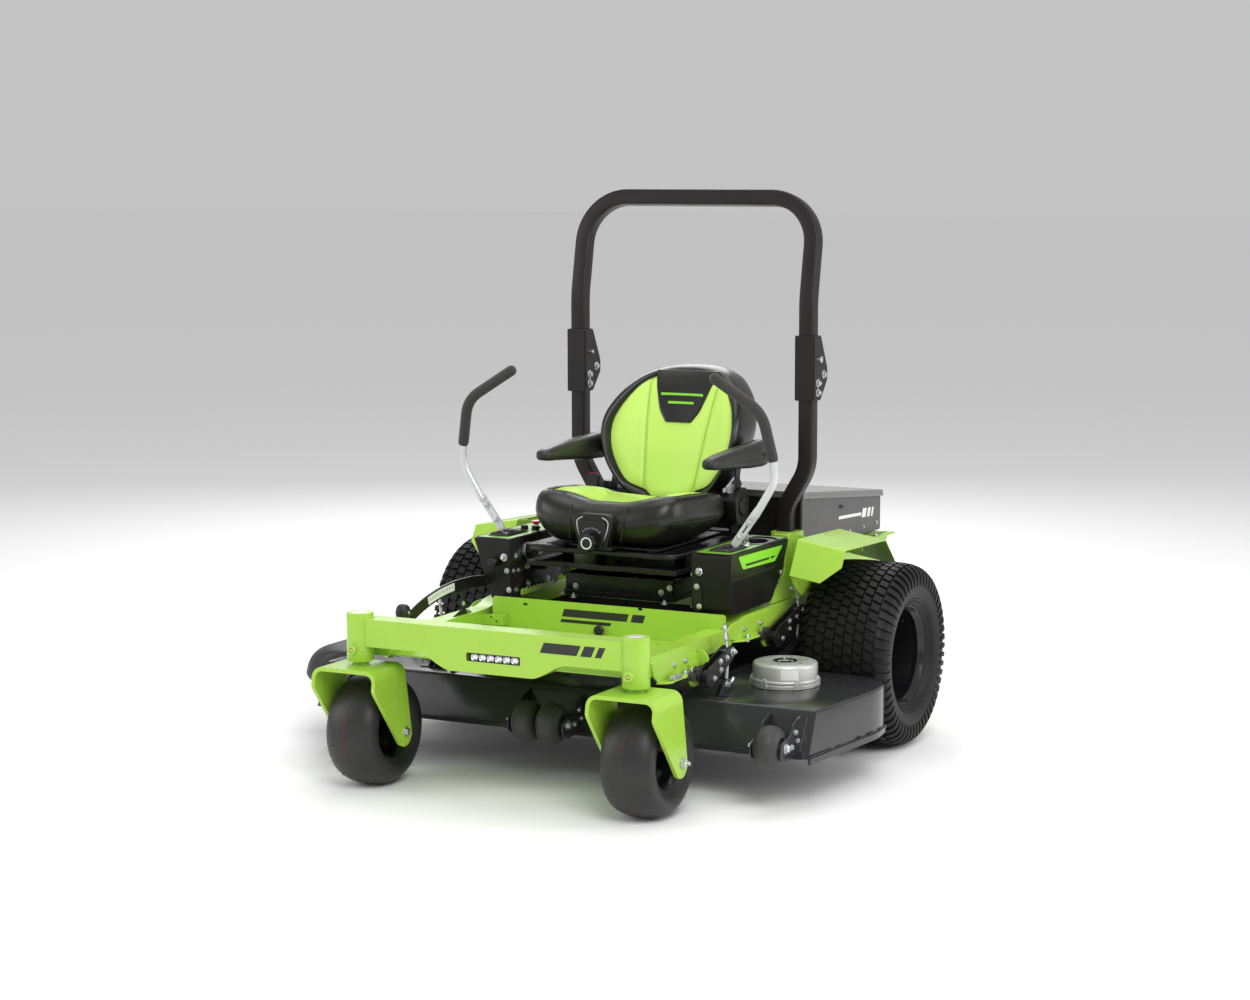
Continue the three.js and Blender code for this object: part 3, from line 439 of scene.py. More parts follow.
look("lid_dark", "frame_black", (0.13, 0.125, 0.125), 0.16, mottle=0.06, coat=0.4, rough_mottle=0.04,
     shine=0.8, grains=ORANGE_PEEL)
look("tyre_line", "tyre_rubber", (0.09, 0.025, 0.02), 0.6)

# Front beam and casters ----------------------------------------------------------------------

CASTER_X, CASTER_Y = 455, -1250


def front_beam():
    edge = CASTER_X - 30
    curve = []
    for i in range(25):
        t = i / 24
        curve.append((250 - 120 * t, 430 - 46 * t * t * (3 - 2 * t)))
    left = [(edge, 512), (edge, 430), *curve]
    outline = left + [(-x, z) for x, z in reversed(left)]
    beam = make("front_beam_skin", Shape().prism("y", outline, -1275, -1200), "chassis", "green", 4, 25,
                ["front_beam"], segments=3)
    pocket = Shape().box(-78, 97, -1280, -1252, 419, 442)
    carve(beam, pocket, *[Shape().bar((s * CASTER_X, CASTER_Y, 300), (s * CASTER_X, CASTER_Y, 600), 36, 48)
                          for s, _ in SIDES])
    tubes = Shape()
    bosses = Shape()
    welds = Shape()
    bolts = Shape()
    caps = Shape()
    for s, _ in SIDES:
        x = s * CASTER_X
        tubes.lathe("z", [(24, 384), (39, 384), (40, 386), (40, 524), (39, 528), (36, 528), (24, 528)],
                    (x, CASTER_Y, 0), 64)
        caps.lathe("z", [(0.01, 522), (35.5, 522), (35.5, 526), (34, 527.5), (12, 528.2), (0.01, 528.4)],
                   (x, CASTER_Y, 0), 48)
        bosses.lathe("y", [(7, -1302), (13, -1302), (14.5, -1300.5), (14.5, -1285), (7, -1285)], (x, 0, 421),
                     32)
        bolts.nut((x, -1298, 421), (0, -1, 0), 11, 4, washer=False)
        welds.weld([(x + 15 * math.cos(a), -1289.5 + 1.5 * math.cos(2 * a), 421 + 15 * math.sin(a))
                    for a in [i * math.pi / 16 for i in range(33)]], 2.2)
        for z in (513, 429.5):
            turn = [math.radians(a) for a in range(-38, 39, 6)]
            welds.weld([(x - s * 40.5 * math.cos(a), CASTER_Y + 40.5 * math.sin(a), z) for a in turn], 2.6)
        corner = math.sqrt(40**2 - 24**2)
        welds.weld([(x - s * corner, -1275, 508), (x - s * corner, -1275, 434)], 2.6)
    make("caster_tubes", tubes, "chassis", "green", 0.8)
    make("caster_tube_caps", caps, "chassis", "cast", 0.5)
    make("caster_tube_bosses", bosses, "chassis", "green", 0.6)
    make("front_welds", welds, "chassis", "green")
    make("boss_bolts", bolts, "chassis", "yellow_zinc", 0.4)
    stripes = Shape()
    for i, (x, wide) in enumerate([(176, 118), (306, 34), (352, 20)]):
        z = 492
        stripes.prism("y", [(x, z), (x + wide, z), (x + wide - 14, z - 30), (x - 14, z - 30)], -1275.6, -1274)
    make("beam_stripes", stripes, "chassis", "ink", 0)


def led_bar():
    frame_ring = Shape().box(-76, 95, -1262, -1253, 420.5, 440.5)
    make("led_backing", frame_ring, "chassis", "gloss_black", 0.8, replaces=["led_light_bar"])
    cells = Shape()
    rims = Shape()
    for i in range(6):
        x = -54 + i * 26.5
        cells.lathe("y", [(0.01, -1270.5), (6, -1270), (9.2, -1267.5), (9.6, -1262), (0.01, -1262)],
                    (x, 0, 430.5), 28)
        rims.lathe("y", [(9.8, -1268), (12.4, -1271), (12.8, -1262), (9.8, -1262)], (x, 0, 430.5), 28)
    make("led_cells", cells, "chassis", "lens")
    make("led_rims", rims, "chassis", "zinc")
    edge = Shape()
    line = round_corners([(-77.5, 419.5), (96.5, 419.5), (96.5, 441.5), (-77.5, 441.5)], 5, 4)
    edge.sweep([Vector((x, -1273.5, z)) for x, z in line], [(-1.6, -1.6), (-1.6, 1.6), (1.6, 1.6),
                                                            (1.6, -1.6)], (0, 1, 0), loop=True)
    make("led_gasket", edge, "chassis", "plastic", 0.4)


def fork_edges(z):
    """Front and rear edge of a fork leg at a height, measured from the swivel axis."""
    cy, cz, r = 65, 160, 38
    low = max(0.0, r * r - (z - cz) ** 2)
    front = cy - math.sqrt(low) if z < 137 else 35 - (z - 137) * 135 / 175
    if z > 312:
        front = -100 + min(5, (z - 312) * 0.15)
    back = cy + math.sqrt(low) if z < 160 else 103 - (z - 160) * 31 / 180
    if z > 340:
        back = 72 + min(3, (z - 340) * 0.1)
    return front, back


def caster(s, name):
    x0 = s * CASTER_X
    half, strap, top, bend = 110, 12, 372, 35
    path = []
    for i in range(33):
        z = 122.5 + (top - bend - 122.5) * (i / 32) ** 1.6
        path.append((half, z, 1, 0))
    for i in range(1, 10):
        t = math.radians(i * 10)
        path.append((half - bend + bend * math.cos(t), top - bend + bend * math.sin(t), math.cos(t),
                     math.sin(t)))
    path += [(-x, z, -nx, nz) for x, z, nx, nz in reversed(path)]
    rings = []
    for x, z, nx, nz in path:
        y0, y1 = fork_edges(min(z, 372))
        ix, iz = x - nx * strap, z - nz * strap
        rings.append([(x0 + x, CASTER_Y + y0, z), (x0 + x, CASTER_Y + y1, z), (x0 + ix, CASTER_Y + y1, iz),
                      (x0 + ix, CASTER_Y + y0, iz)])
    make("fork_strap_" + name, Shape().loft(rings), "caster_" + name, "green", 2.2, 40,
         ["caster_fork_" + name], segments=3)
    stem = Shape().lathe("z", [(0.01, 371), (22.5, 371), (22.5, 520), (0.01, 520)], (x0, CASTER_Y, 0), 48)
    stem.weld([(x0 + 23 * math.cos(a), CASTER_Y + 23 * math.sin(a), 373.5)
               for a in [i * math.pi / 16 for i in range(33)]], 2.6)
    make("fork_stem_" + name, stem, "caster_" + name, "green")
    y, z = CASTER_Y + 70, 166
    pins = Shape()
    pins.bar((x0 - half - 4, y, z), (x0 + half + 4, y, z), 9.4)
    pins.tube([(x0 + half, y, z), (x0 + half + 2.5, y, z)], 15, 28)
    pins.tube([(x0 - half, y, z), (x0 - half - 2.5, y, z)], 15, 28)
    if s > 0:
        pins.nut((x0 + half + 2, y, z), (1, 0, 0), 21, 11, stud=9)
        pins.nut((x0 - half - 2, y, z), (-1, 0, 0), 21, 8)
    else:
        pins.lathe("x", [(4, 0), (10, 0), (11, 2), (11, 6), (9, 8), (4, 8)], (x0 + half + 2, y, z), 32)
        pins.nut((x0 - half - 2, y, z), (-1, 0, 0), 21, 11, stud=9)
    make("fork_hardware_" + name, pins, "caster_" + name, "zinc", 0.5)

    body = "caster_wheel_" + name
    centre = (x0, y, z)
    half_profile = [(79, 52), (80, 60), (84, 66), (89, 69), (92, 70), (95, 73), (104, 78.5), (115, 82.4),
                    (125, 83.4), (134, 81.8), (142, 77.4), (149, 70.5), (155, 61), (160, 48), (163.4, 34),
                    (165.3, 19), (166, 3)]
    profile = half_profile + [(r, -h) for r, h in reversed(half_profile)]
    casing = Shape().lathe("x", profile, centre, 96)
    make("caster_casing_" + name, casing, body, "caster_tyre", 0, 60, ["caster_tyre_" + name])
    line = Shape().lathe("x", [(165.4, -1.1), (166.5, -0.7), (166.5, 0.7), (165.4, 1.1)], centre, 120)
    make("caster_line_" + name, line, body, "tyre_line")
    pips = Shape()
    for i in range(18):
        for h, r, shift in ((46, 163.8, 0), (-46, 163.8, 0.5), (78, 149, 0.25), (-78, 149, 0.75)):
            t = 2 * math.pi * (i + shift) / 18
            out = Vector((0.25 if h > 0 else -0.25, math.cos(t), math.sin(t)))
            p = Vector(centre) + Vector((h, r * math.cos(t), r * math.sin(t)))
            pips.tube([p - out, p + out * 1.6], [1.3, 0.7], 8)
    make("caster_pips_" + name, pips, body, "caster_tyre")
    rim = Shape()
    rim.lathe("x", [(77.6, -50), (77.6, 50), (80, 57), (84.5, 64), (83, 66), (79, 61), (74, 54), (70, 40),
                    (66, 22), (60, 15), (28, 15), (28, -15), (60, -15), (66, -22), (70, -40), (74, -54),
                    (79, -61), (83, -66), (84.5, -64), (80, -57)], centre, 72)
    rim.lathe("x", [(10, -86), (23, -86), (26, -83), (26, 83), (23, 86), (10, 86)], centre, 48)
    make("caster_wheel_rim_" + name, rim, body, "rim", 0, 35, ["caster_rim_" + name])
    bits = Shape()
    for i in range(6):
        t = math.pi * i / 3
        for d in (1, -1):
            p = Vector(centre) + Vector((15 * d, 46 * math.cos(t), 46 * math.sin(t)))
            bits.nut(p, (d, 0, 0), 9, 4)
    make("caster_rim_bolts_" + name, bits, body, "rim", 0.4)


# Drive wheels --------------------------------------------------------------------------------

CARCASS = [(153, 112), (155, 118), (160, 124), (166, 127), (170, 131), (180, 137), (196, 143), (214, 147.5),
           (232, 149), (247, 147), (259, 141.5), (268, 133), (275, 121), (279.5, 104), (281.6, 80),
           (282.6, 50), (283, 20), (283, 0)]


def carcass_line():
    """The tread side of the casing by distance from its middle: (radius, across, normal)."""
    points = [Vector((h, r)) for r, h in reversed(CARCASS)]
    table = [(0.0, points[0])]
    for a, b in zip(points, points[1:]):
        table.append((table[-1][0] + (b - a).length, b))
    return table


def on_carcass(table, u, lift):
    """A point on the casing at a distance from its middle, lifted off its surface."""
    side = -1 if u < 0 else 1
    u = abs(u)
    for (d0, a), (d1, b) in zip(table, table[1:]):
        if u <= d1:
            t = (u - d0) / (d1 - d0)
            p = a.lerp(b, t)
            along = (b - a).normalized()
            normal = Vector((-along.y, along.x))
            q = p + normal * lift
            return side * q.x, q.y
    return side * table[-1][1].x, table[-1][1].y


AXLE_Z = 292
TREAD_RADIUS = 283


def drive_wheel(s, name):
    centre = Vector((s * 660, 0, AXLE_Z))
    body = "drive_wheel_" + name
    half = list(CARCASS)
    profile = half + [(r, -h) for r, h in reversed(half[:-1])]
    make("tyre_casing_" + name, Shape().lathe("x", profile, centre, 128), body, "tyre", 0, 60,
         ["drive_tyre_" + name])
    table = carcass_line()
    tread = Shape()
    pitches = 56

    def lug(stations):
        rings = []
        last = len(stations) - 1
        for i, (u, turn, wide, high) in enumerate(stations):
            ends = 1.6 if i in (0, last) else 0
            shrink = (1 if i == 0 else -1) * ends
            ring = []
            for side, lift in ((-1, -1.5), (-1, high), (1, high), (1, -1.5)):
                inset = 1.5 if lift > 0 else 0
                across, r = on_carcass(table, u + (shrink if lift > 0 else 0), lift)
                t = turn + side * (wide - inset) / TREAD_RADIUS
                ring.append(centre + Vector((across, r * math.cos(t), r * math.sin(t))))
            rings.append(ring)
        tread.loft(rings)

    columns = 7
    wide = 29.0
    step = 2 * math.pi / pitches
    for i in range(pitches):
        for k in range(columns):
            u = (k - (columns - 1) / 2) * 32.2
            lean = 0.16 * u / TREAD_RADIUS
            offset = i * step + (0.5 * step if k % 2 else 0)
            stations = []
            for j in range(5):
                v = u - wide / 2 + wide * j / 4
                wave = 3.2 * math.sin(math.pi * (j / 4 - 0.5)) / TREAD_RADIUS
                sweep = 0.10 * abs(v) / TREAD_RADIUS
                stations.append((v, offset + lean + wave + sweep, 12.6, 8.6))
            lug(stations)
        for side in (1, -1):
            stations = []
            for j in range(9):
                v = 114 + j * 9.2
                curl = 0.022 * math.sin(j / 8 * math.pi * 0.9)
                high = 8.4 - 5.6 * max(0, (j - 3) / 5)
                stations.append((side * v, i * step + 0.5 * step + curl + 0.0005 * j, 10.2 - 0.3 * j, high))
            lug(stations if side > 0 else stations[::-1])
    make("tyre_tread_" + name, tread, body, "tyre", 0, 30)
    rings = Shape()
    for side in (1, -1):
        for r, h in ((172, 132.4), (181, 137.6)):
            rings.lathe("x", [(r - 1.4, side * (h - 1)), (r, side * (h + 1.6)), (r + 1.6, side * (h - 0.2))],
                        centre, 128)
    make("tyre_rings_" + name, rings, body, "tyre")

    outer = [(0.01, -80), (58, -80), (64, -78), (84, -66), (100, -58.5), (112, -57), (126, -58), (132, -56),
             (136, -46), (137, -20), (139, 4), (137, 16), (137, 28), (140, 40), (141, 78), (144, 92),
             (149, 100), (153, 104), (157, 110), (160, 113), (161, 117), (158, 119.5), (153, 117), (149, 110)]
    inner = [(145, 104), (142, 100), (142, -100), (149, -106), (157, -112), (160, -116), (158, -119),
             (153, -117), (146, -108), (138, -100), (134, -74), (100, -70), (60, -92), (0.01, -92)]
    rim = Shape().lathe("x", [(r, s * h) for r, h in outer + inner], centre, 96)
    rim_piece = make("drive_wheel_rim_" + name, rim, body, "rim", 0, 40, ["drive_rim_" + name])
    holes = [Shape().bar(centre + Vector((-s * 110, 98 * math.cos(t), 98 * math.sin(t))),
                         centre + Vector((-s * 20, 98 * math.cos(t), 98 * math.sin(t))), 15, 28)
             for t in [2 * math.pi * (i + 0.5) / 5 for i in range(5)]]
    carve(rim_piece, *holes)
    nuts = Shape()
    for i in range(5):
        t = 2 * math.pi * i / 5
        at = centre + Vector((-s * 80, 40 * math.cos(t), 40 * math.sin(t)))
        nuts.nut(at, (s, 0, 0), 19, 12, washer=False, stud=5)
    make("wheel_nuts_" + name, nuts, body, "zinc", 0.5)
    hub = Shape().lathe("x", [(0.01, -s * 80), (24, -s * 80), (24, -s * 70), (21, -s * 66), (0.01, -s * 65)],
                        centre, 48)
    hub.bar(centre + Vector((s * 30, 96, 96)), centre + Vector((s * 62, 92, 92)), 4.2)
    hub.bar(centre + Vector((s * 61, 92, 92)), centre + Vector((s * 69, 91, 91)), 5.2)
    make("hub_cap_" + name, hub, body, "gloss_black", 0.6)


def wheel_motor(s, name):
    centre = Vector((0, 0, AXLE_Z))
    profile = [(0.01, 446), (77, 446), (78, 448), (78, 500), (75, 504), (64, 508), (62, 512), (62, 538),
               (58, 542), (48, 545), (47, 566), (0.01, 567)]
    motor = Shape().lathe("x", [(r, s * h) for r, h in profile], centre, 64)
    for i in range(10):
        h = 452 + i * 5
        motor.lathe("x", [(77, s * h), (84, s * h), (84, s * (h + 2)), (77, s * (h + 2))], centre, 48)
    make("wheel_motor_skin_" + name, motor, "chassis", "cast", 0, 35, ["wheel_motor_" + name])
    bolts = Shape()
    for i in range(6):
        t = math.pi * i / 3 + 0.3
        bolts.nut((s * 506, 69 * math.cos(t), AXLE_Z + 69 * math.sin(t)), (s, 0, 0), 10, 6)
    make("wheel_motor_bolts_" + name, bolts, "chassis", "zinc", 0.4)


# Main frame ----------------------------------------------------------------------------------

RAIL_TOP = [(-1199.6, 448), (-640, 448), (-606, 452), (-530, 466), (-500, 470), (560, 470)]
RAIL_LOW = [(-1199.6, 392), (-640, 392), (-606, 395), (-530, 411), (-500, 415), (560, 415)]


def rail(s, name):
    x0, x1 = s * 385, s * 445
    outline = RAIL_TOP + RAIL_LOW[::-1]
    tube = make("rail_skin_" + name, Shape().prism("x", outline, x0, x1), "chassis", "green", 4, 20,
                ["frame_rail_" + name], segments=3)
    holes = [(-508, 452, 6), (60, 452, 6), (240, 445, 8), (430, 445, 8), (-1010, 424, 5)]
    carve(tube, *[Shape().bar((s * 430, y, z), (s * 460, y, z), r, 24) for y, z, r in holes])
    x = s * 445
    out = s
    plates = Shape()
    front = [(-1142, 428), (-1120, 436), (-980, 440), (-900, 440), (-870, 418), (-846, 416), (-832, 404),
             (-832, 386), (-856, 376), (-960, 368), (-1100, 368), (-1132, 392)]
    rear = [(-640, 442), (-600, 458), (-480, 462), (-330, 460), (-296, 438), (-266, 432), (-266, 410),
            (-300, 402), (-470, 402), (-560, 404), (-620, 414)]
    for points in (front, rear):
        plates.prism("x", round_corners(points, 8, 4), x - out * 0.5, x + out * 6)
    plates.prism("z", round_corners([(x + out * 1, -1112), (x + out * 34, -1090), (x + out * 36, -905),
                                     (x + out * 24, -872), (x + out * 1, -866)], 8, 4), 366, 371)
    plates.prism("z", round_corners([(x + out * 1, -600), (x + out * 30, -566), (x + out * 36, -470),
                                     (x + out * 20, -420), (x + out * 1, -410)], 8, 4), 402, 407)
    tab = [(x + out * 1, 374), (x + out * 1, 424), (x + out * 20, 424), (x + out * 38, 404),
           (x + out * 40, 390), (x + out * 24, 378)]
    plates.prism("y", round_corners(tab, 5, 3), -842, -836)
    plates.prism("y", round_corners([(a, z + 30) for a, z in tab], 5, 3), -288, -282)
    piece = make("rail_gussets_" + name, plates, "chassis", "green", 1.2, 35)
    slots = [Shape().prism("z", round_corners([(x + out * 12, y), (x + out * 20, y), (x + out * 20, y + 26),
                                               (x + out * 12, y + 26)], 4, 4), 360, 378)
             for y in (-1080, -1020)]
    carve(piece, *slots)
    welds = Shape()
    for points, first, last in ((front, 0, 4), (rear, 0, 4)):
        welds.weld([(x + out * 2, y, z + 1) for y, z in points[first:last + 1]], 2.4)
    welds.weld([(s * 440, -1198, 450), (s * 392, -1198, 450)], 2.6)
    welds.weld([(s * 446, -1199, 446), (s * 446, -1199, 396)], 2.6)
    make("rail_welds_" + name, welds, "chassis", "green")
    bolts = Shape()
    for y in (-1040, -950, -905):
        bolts.nut((x + out * 16, y, 366), (0, 0, -1), 13, 7)
        bolts.nut((x + out * 16, y, 371), (0, 0, 1), 13, 6, stud=4)
    bolts.nut((x + out * 18, -520, 407), (0, 0, 1), 13, 6, stud=4)
    bolts.nut((x + out * 18, -520, 402), (0, 0, -1), 13, 7)
    for y, z in ((-1000, 405), (-930, 405), (-520, 432), (-400, 432)):
        bolts.nut((x + out * 6, y, z), (out, 0, 0), 11, 5)
    make("rail_bolts_" + name, bolts, "chassis", "zinc", 0.4)


def floor_panel():
    panels = Shape()
    panels.prism("z", round_corners([(-384, -1199), (384, -1199), (384, -641), (-384, -641)], 3), 396, 400)
    face = [(-359, 398), (384, 398), (384, 444), (444, 450), (444, 486), (438, 492), (-352, 492), (-359, 484)]
    panels.prism("y", round_corners(face, 3, 3), -640, -635)
    panels.prism("x", round_corners([(-641, 490), (-634, 494), (-560, 486.5), (-20, 486.5), (-20, 481),
                                     (-634, 481)], 2, 2), -306, 306)
    for s in (1, -1):
        plate = [(-636, 482), (-600, 500), (-560, 600), (-548, 640), (-190, 640), (-152, 610), (-150, 482)]
        panels.prism("x", round_corners(plate, 10, 4), s * 304, s * 309)
    piece = make("floor_skin", panels, "chassis", "green", 1.2, 35, ["floor_panel"])
    ovals = [(392 - 20, 436), (150, 484), (-250, 470)]
    cuts = [Shape().prism("y", round_corners([(x, z), (x + 16, z), (x + 16, z + 8), (x, z + 8)], 4, 5), -650,
                          -630) for x, z in ovals]
    cuts += [Shape().prism("z", round_corners([(x, y), (x + 30, y), (x + 30, y + 12), (x, y + 12)], 6, 5),
                           390, 405) for x, y in ((240, -720), (-270, -720), (240, -1120), (-270, -1120),
                                                  (0, -1150))]
    carve(piece, *cuts)
    bar = Shape()
    bar.prism("y", [(-104, 470), (120, 470), (112, 446), (-112, 446)], -640.6, -639)
    bar.prism("y", [(134, 470), (176, 470), (168, 446), (126, 446)], -640.6, -639)
    bar.prism("y", [(-114, 438), (60, 438), (56, 428), (-118, 428)], -640.6, -639)
    make("panel_stripes", bar, "chassis", "ink", 0)
    tabs = Shape()
    tab = [(-400, 404), (-400, 424), (-386, 434), (-322, 441), (-306, 438), (-306, 404)]
    tabs.prism("y", round_corners(tab, 4, 3), -664, -660)
    tabs.prism("x", round_corners([(-662, 404), (-662, 438), (-641, 444), (-641, 404)], 3, 3), -310, -306)
    tab_piece = make("panel_tabs", tabs, "chassis", "green", 0.8, 35)
    carve(tab_piece, *[Shape().bar((x, -670, z), (x, -655, z), 4, 20)
                       for x, z in ((-388, 416), (-352, 428), (-332, 416))])
    grip = Shape()
    for i in range(9):
        for k in range(7):
            x, y = -320 + i * 80, -1150 + k * 70 + (35 if i % 2 else 0)
            if y > -700 or (abs(x) > 220 and (y < -1090 or y > -750)):
                continue
            grip.prism("z", round_corners([(x - 22, y - 4), (x + 22, y - 4), (x + 22, y + 4),
                                           (x - 22, y + 4)], 3.5, 4), 399.5, 401.6)
    make("floor_treads", grip, "chassis", "green", 0.6)
    bolts = Shape()
    for x, y in ((-199, -476), (-131, -528), (182, -521), (-199, -160), (199, -160)):
        bolts.nut((x, y, 487), (0, 0, 1), 13, 7, stud=6)
    for x, z in ((-340, 416), (360, 416)):
        bolts.nut((x, -640, z), (0, -1, 0), 11, 4)
    for y, z in ((-512, 518), (-386, 516), (-300, 560)):
        bolts.nut((-304, y, z), (1, 0, 0), 12, 6)
        bolts.nut((304, y, z), (-1, 0, 0), 12, 6)
    make("floor_bolts", bolts, "chassis", "zinc", 0.4)
    stop = Shape().lathe("y", [(0.01, -660), (13, -660), (16, -657), (16, -650), (10, -646), (10, -640),
                               (0.01, -640)], (23, 0, 414), 32)
    make("panel_stop", stop, "chassis", "rubber", 0.5)
    edge = Shape()
    teeth = []
    for i in range(9):
        teeth += [(-560 + i * 24, 500), (-548 + i * 24, 507)]
    edge.prism("x", [(-560, 486)] + teeth + [(-350, 486)], -303.5, -299)
    make("bench_toothed_strip", edge, "chassis", "green", 0.5)


def rear_frame():
    green = Shape()
    green.prism("z", round_corners([(-400, 12), (400, 12), (400, 770), (-400, 770)], 8, 4), 560, 566)
    green.prism("x", round_corners([(12, 470.5), (700, 470.5), (788, 548), (788, 566), (12, 566)], 4, 3), 394,
                400)
    green.prism("x", round_corners([(12, 470.5), (700, 470.5), (788, 548), (788, 566), (12, 566)], 4, 3),
                -400, -394)
    green.prism("y", round_corners([(-400, 470.5), (400, 470.5), (400, 562), (-400, 562)], 4, 3), 695, 700)
    green.prism("z", round_corners([(395, -30), (430, -30), (430, 788), (395, 788)], 8, 4), 559, 564)
    green.prism("z", round_corners([(-430, -30), (-395, -30), (-395, 788), (-430, 788)], 8, 4), 559, 564)
    make("rear_frame_skin", green, "chassis", "green", 1.2, 35, ["rear_frame"])
    sockets = Shape()
    for s in (1, -1):
        wrap = [(300, 12), (387, 12), (387, 84), (300, 84)]
        sockets.prism("z", round_corners([(s * x, y) for x, y in wrap], 6, 4), 470.5, 655)
    socket = make("roll_bar_sockets", sockets, "chassis", "green", 1.5, 35)
    carve(socket, *[Shape().box(s * 338 - 25.6, s * 338 + 25.6, 24.2, 75.6, 489, 700) for s in (1, -1)])
    stays = Shape()
    for s in (1, -1):
        upright = [(-304, 474), (-292, 500), (-196, 560), (-176, 640), (-160, 678), (-92, 672), (-80, 650),
                   (-110, 560), (-128, 474)]
        stays.prism("x", round_corners(upright, 6, 3), s * 436, s * 441)
        stays.prism("x", round_corners([(-160, 655), (-160, 676), (14, 650), (14, 610), (-100, 560),
                                        (-150, 560)], 6, 3), s * 387, s * 392)
        stays.prism("y", round_corners([(s * 388, 474), (s * 440, 474), (s * 440, 672), (s * 388, 676)], 4,
                                       3), -166, -161)
        stays.prism("y", round_corners([(s * 388, 474), (s * 500, 500), (s * 500, 560), (s * 440, 640),
                                        (s * 388, 655)], 4, 3), 5, 10)
    make("rear_stays", stays, "chassis", "green", 1.0, 35)
    bolts = Shape()
    for s in (1, -1):
        for z in (520, 610):
            bolts.nut((s * 387, 48, z), (s, 0, 0), 16, 8, stud=5)
        bolts.nut((s * 441, -240, 540), (s, 0, 0), 12, 5)
        bolts.nut((s * 441, -140, 500), (s, 0, 0), 12, 5)
        for y in (200, 450, 650):
            bolts.nut((s * 412, y, 564), (0, 0, 1), 13, 6)
    bolts.nut((-120, 700, 515), (0, 1, 0), 16, 8)
    bolts.nut((120, 700, 515), (0, 1, 0), 16, 8)
    make("rear_bolts", bolts, "chassis", "zinc", 0.4)


FENDER_THICK = 4


def fender(s, name):
    inner, outer, drop = 500, 660, 26
    profile = [(-292, 566), (-227, 672), (109, 662), (206, 572)]
    smooth = rounded([(0, y, z) for y, z in profile], 7, 5)
    rows = []
    for p in smooth:
        line = []
        for i in range(9):
            x = inner + (outer - inner) * i / 8
            sink = drop * (x - inner) / (outer - inner)
            line.append((x, p.y, p.z - sink))
        rows.append(line)
    top = [[Vector((s * x, y, z)) for x, y, z in line] for line in rows]
    shape = Shape().sheet(top)
    o = make("fender_skin_" + name, shape, "chassis", "green", 0, 25, ["fender_" + name])
    corner = Shape().prism("y", [(s * 664, 460), (s * 664, 600), (s * 600, 548), (s * 600, 460)], -420, -236)
    m = o.modifiers.new("sheet", "SOLIDIFY")
    m.thickness = FENDER_THICK / 1000
    m.offset = 0
    with bpy.context.temp_override(object=o, active_object=o, selected_objects=[o]):
        bpy.ops.object.modifier_apply(modifier=m.name)
    carve(o, corner)
    m = o.modifiers.new("edges", "BEVEL")
    m.width = 0.001
    m.segments = 2
    m.limit_method = "ANGLE"
    m.angle_limit = math.radians(50)
    m.harden_normals = True
    stay = Shape()
    web = [(-288, 567), (-226, 668), (108, 658), (120, 640), (20, 560), (-60, 500), (-200, 490), (-262, 530)]
    stay.prism("x", round_corners(web, 10, 4), s * 500, s * 504)
    stay.box(s * 402, s * 502, -60, -10, 541, 546)
    stay.prism("y", round_corners([(s * 504, 660), (s * 640, 634), (s * 640, 618), (s * 504, 600)], 4, 3),
               -40, -36)
    make("fender_stay_" + name, stay, "chassis", "green", 0.8, 35)
    bolts = Shape()
    for y in (-120, 40):
        bolts.nut((s * 504, y, 600), (s, 0, 0), 12, 5)
        bolts.nut((s * 430, y - 20, 546), (0, 0, 1), 12, 6)
    bolts.nut((s * 520, -255, 600), (0, 1, 0.7), 11, 5)
    make("fender_bolts_" + name, bolts, "chassis", "zinc", 0.4)

# Cutting deck --------------------------------------------------------------------------------

DECK_TOP, DECK_LOW = 280, 148
LEFT_EDGE = [(852, -760), (866, -600), (873, -540), (875, -490), (872, -445), (861, -402), (836, -362),
             (800, -337), (760, -323), (720, -317), (560, -315), (440, -313), (260, -312), (180, -268),
             (90, -246)]
RIGHT_EDGE = [(-90, -246), (-180, -268), (-260, -312), (-440, -313), (-560, -315), (-720, -317), (-800, -340),
              (-846, -395), (-846, -600)]


def deck_outline(z):
    t = (DECK_TOP - z) / (DECK_TOP - DECK_LOW)
    front = -858 - 59 * t
    return [(835, front), *LEFT_EDGE, *RIGHT_EDGE, (-835, front)]


def resample_closed(outline, count):
    """A closed outline with evenly spaced points, keeping its own direction."""
    points = [Vector(p) for p in outline]
    points.append(points[0])
    total = sum((b - a).length for a, b in zip(points, points[1:]))
    out = []
    i, gone = 0, 0.0
    for k in range(count):
        want = total * k / count
        while gone + (points[i + 1] - points[i]).length < want:
            gone += (points[i + 1] - points[i]).length
            i += 1
        t = (want - gone) / (points[i + 1] - points[i]).length
        out.append(points[i].lerp(points[i + 1], t))
    return out


def wall_ring(z, inset=0.0):
    """The deck wall at a height: one point for each corner, moved inward by an inset."""
    outline = [Vector(p) for p in deck_outline(z)]
    n = len(outline)
    ring = []
    for i in range(n):
        before = (outline[i] - outline[i - 1]).normalized()
        after = (outline[(i + 1) % n] - outline[i]).normalized()
        a, b = Vector((-before.y, before.x)), Vector((-after.y, after.x))
        middle = (a + b).normalized()
        reach = inset / max(0.5, middle.dot(a))
        p = outline[i] + middle * reach
        ring.append((p.x, p.y, z))
    return ring


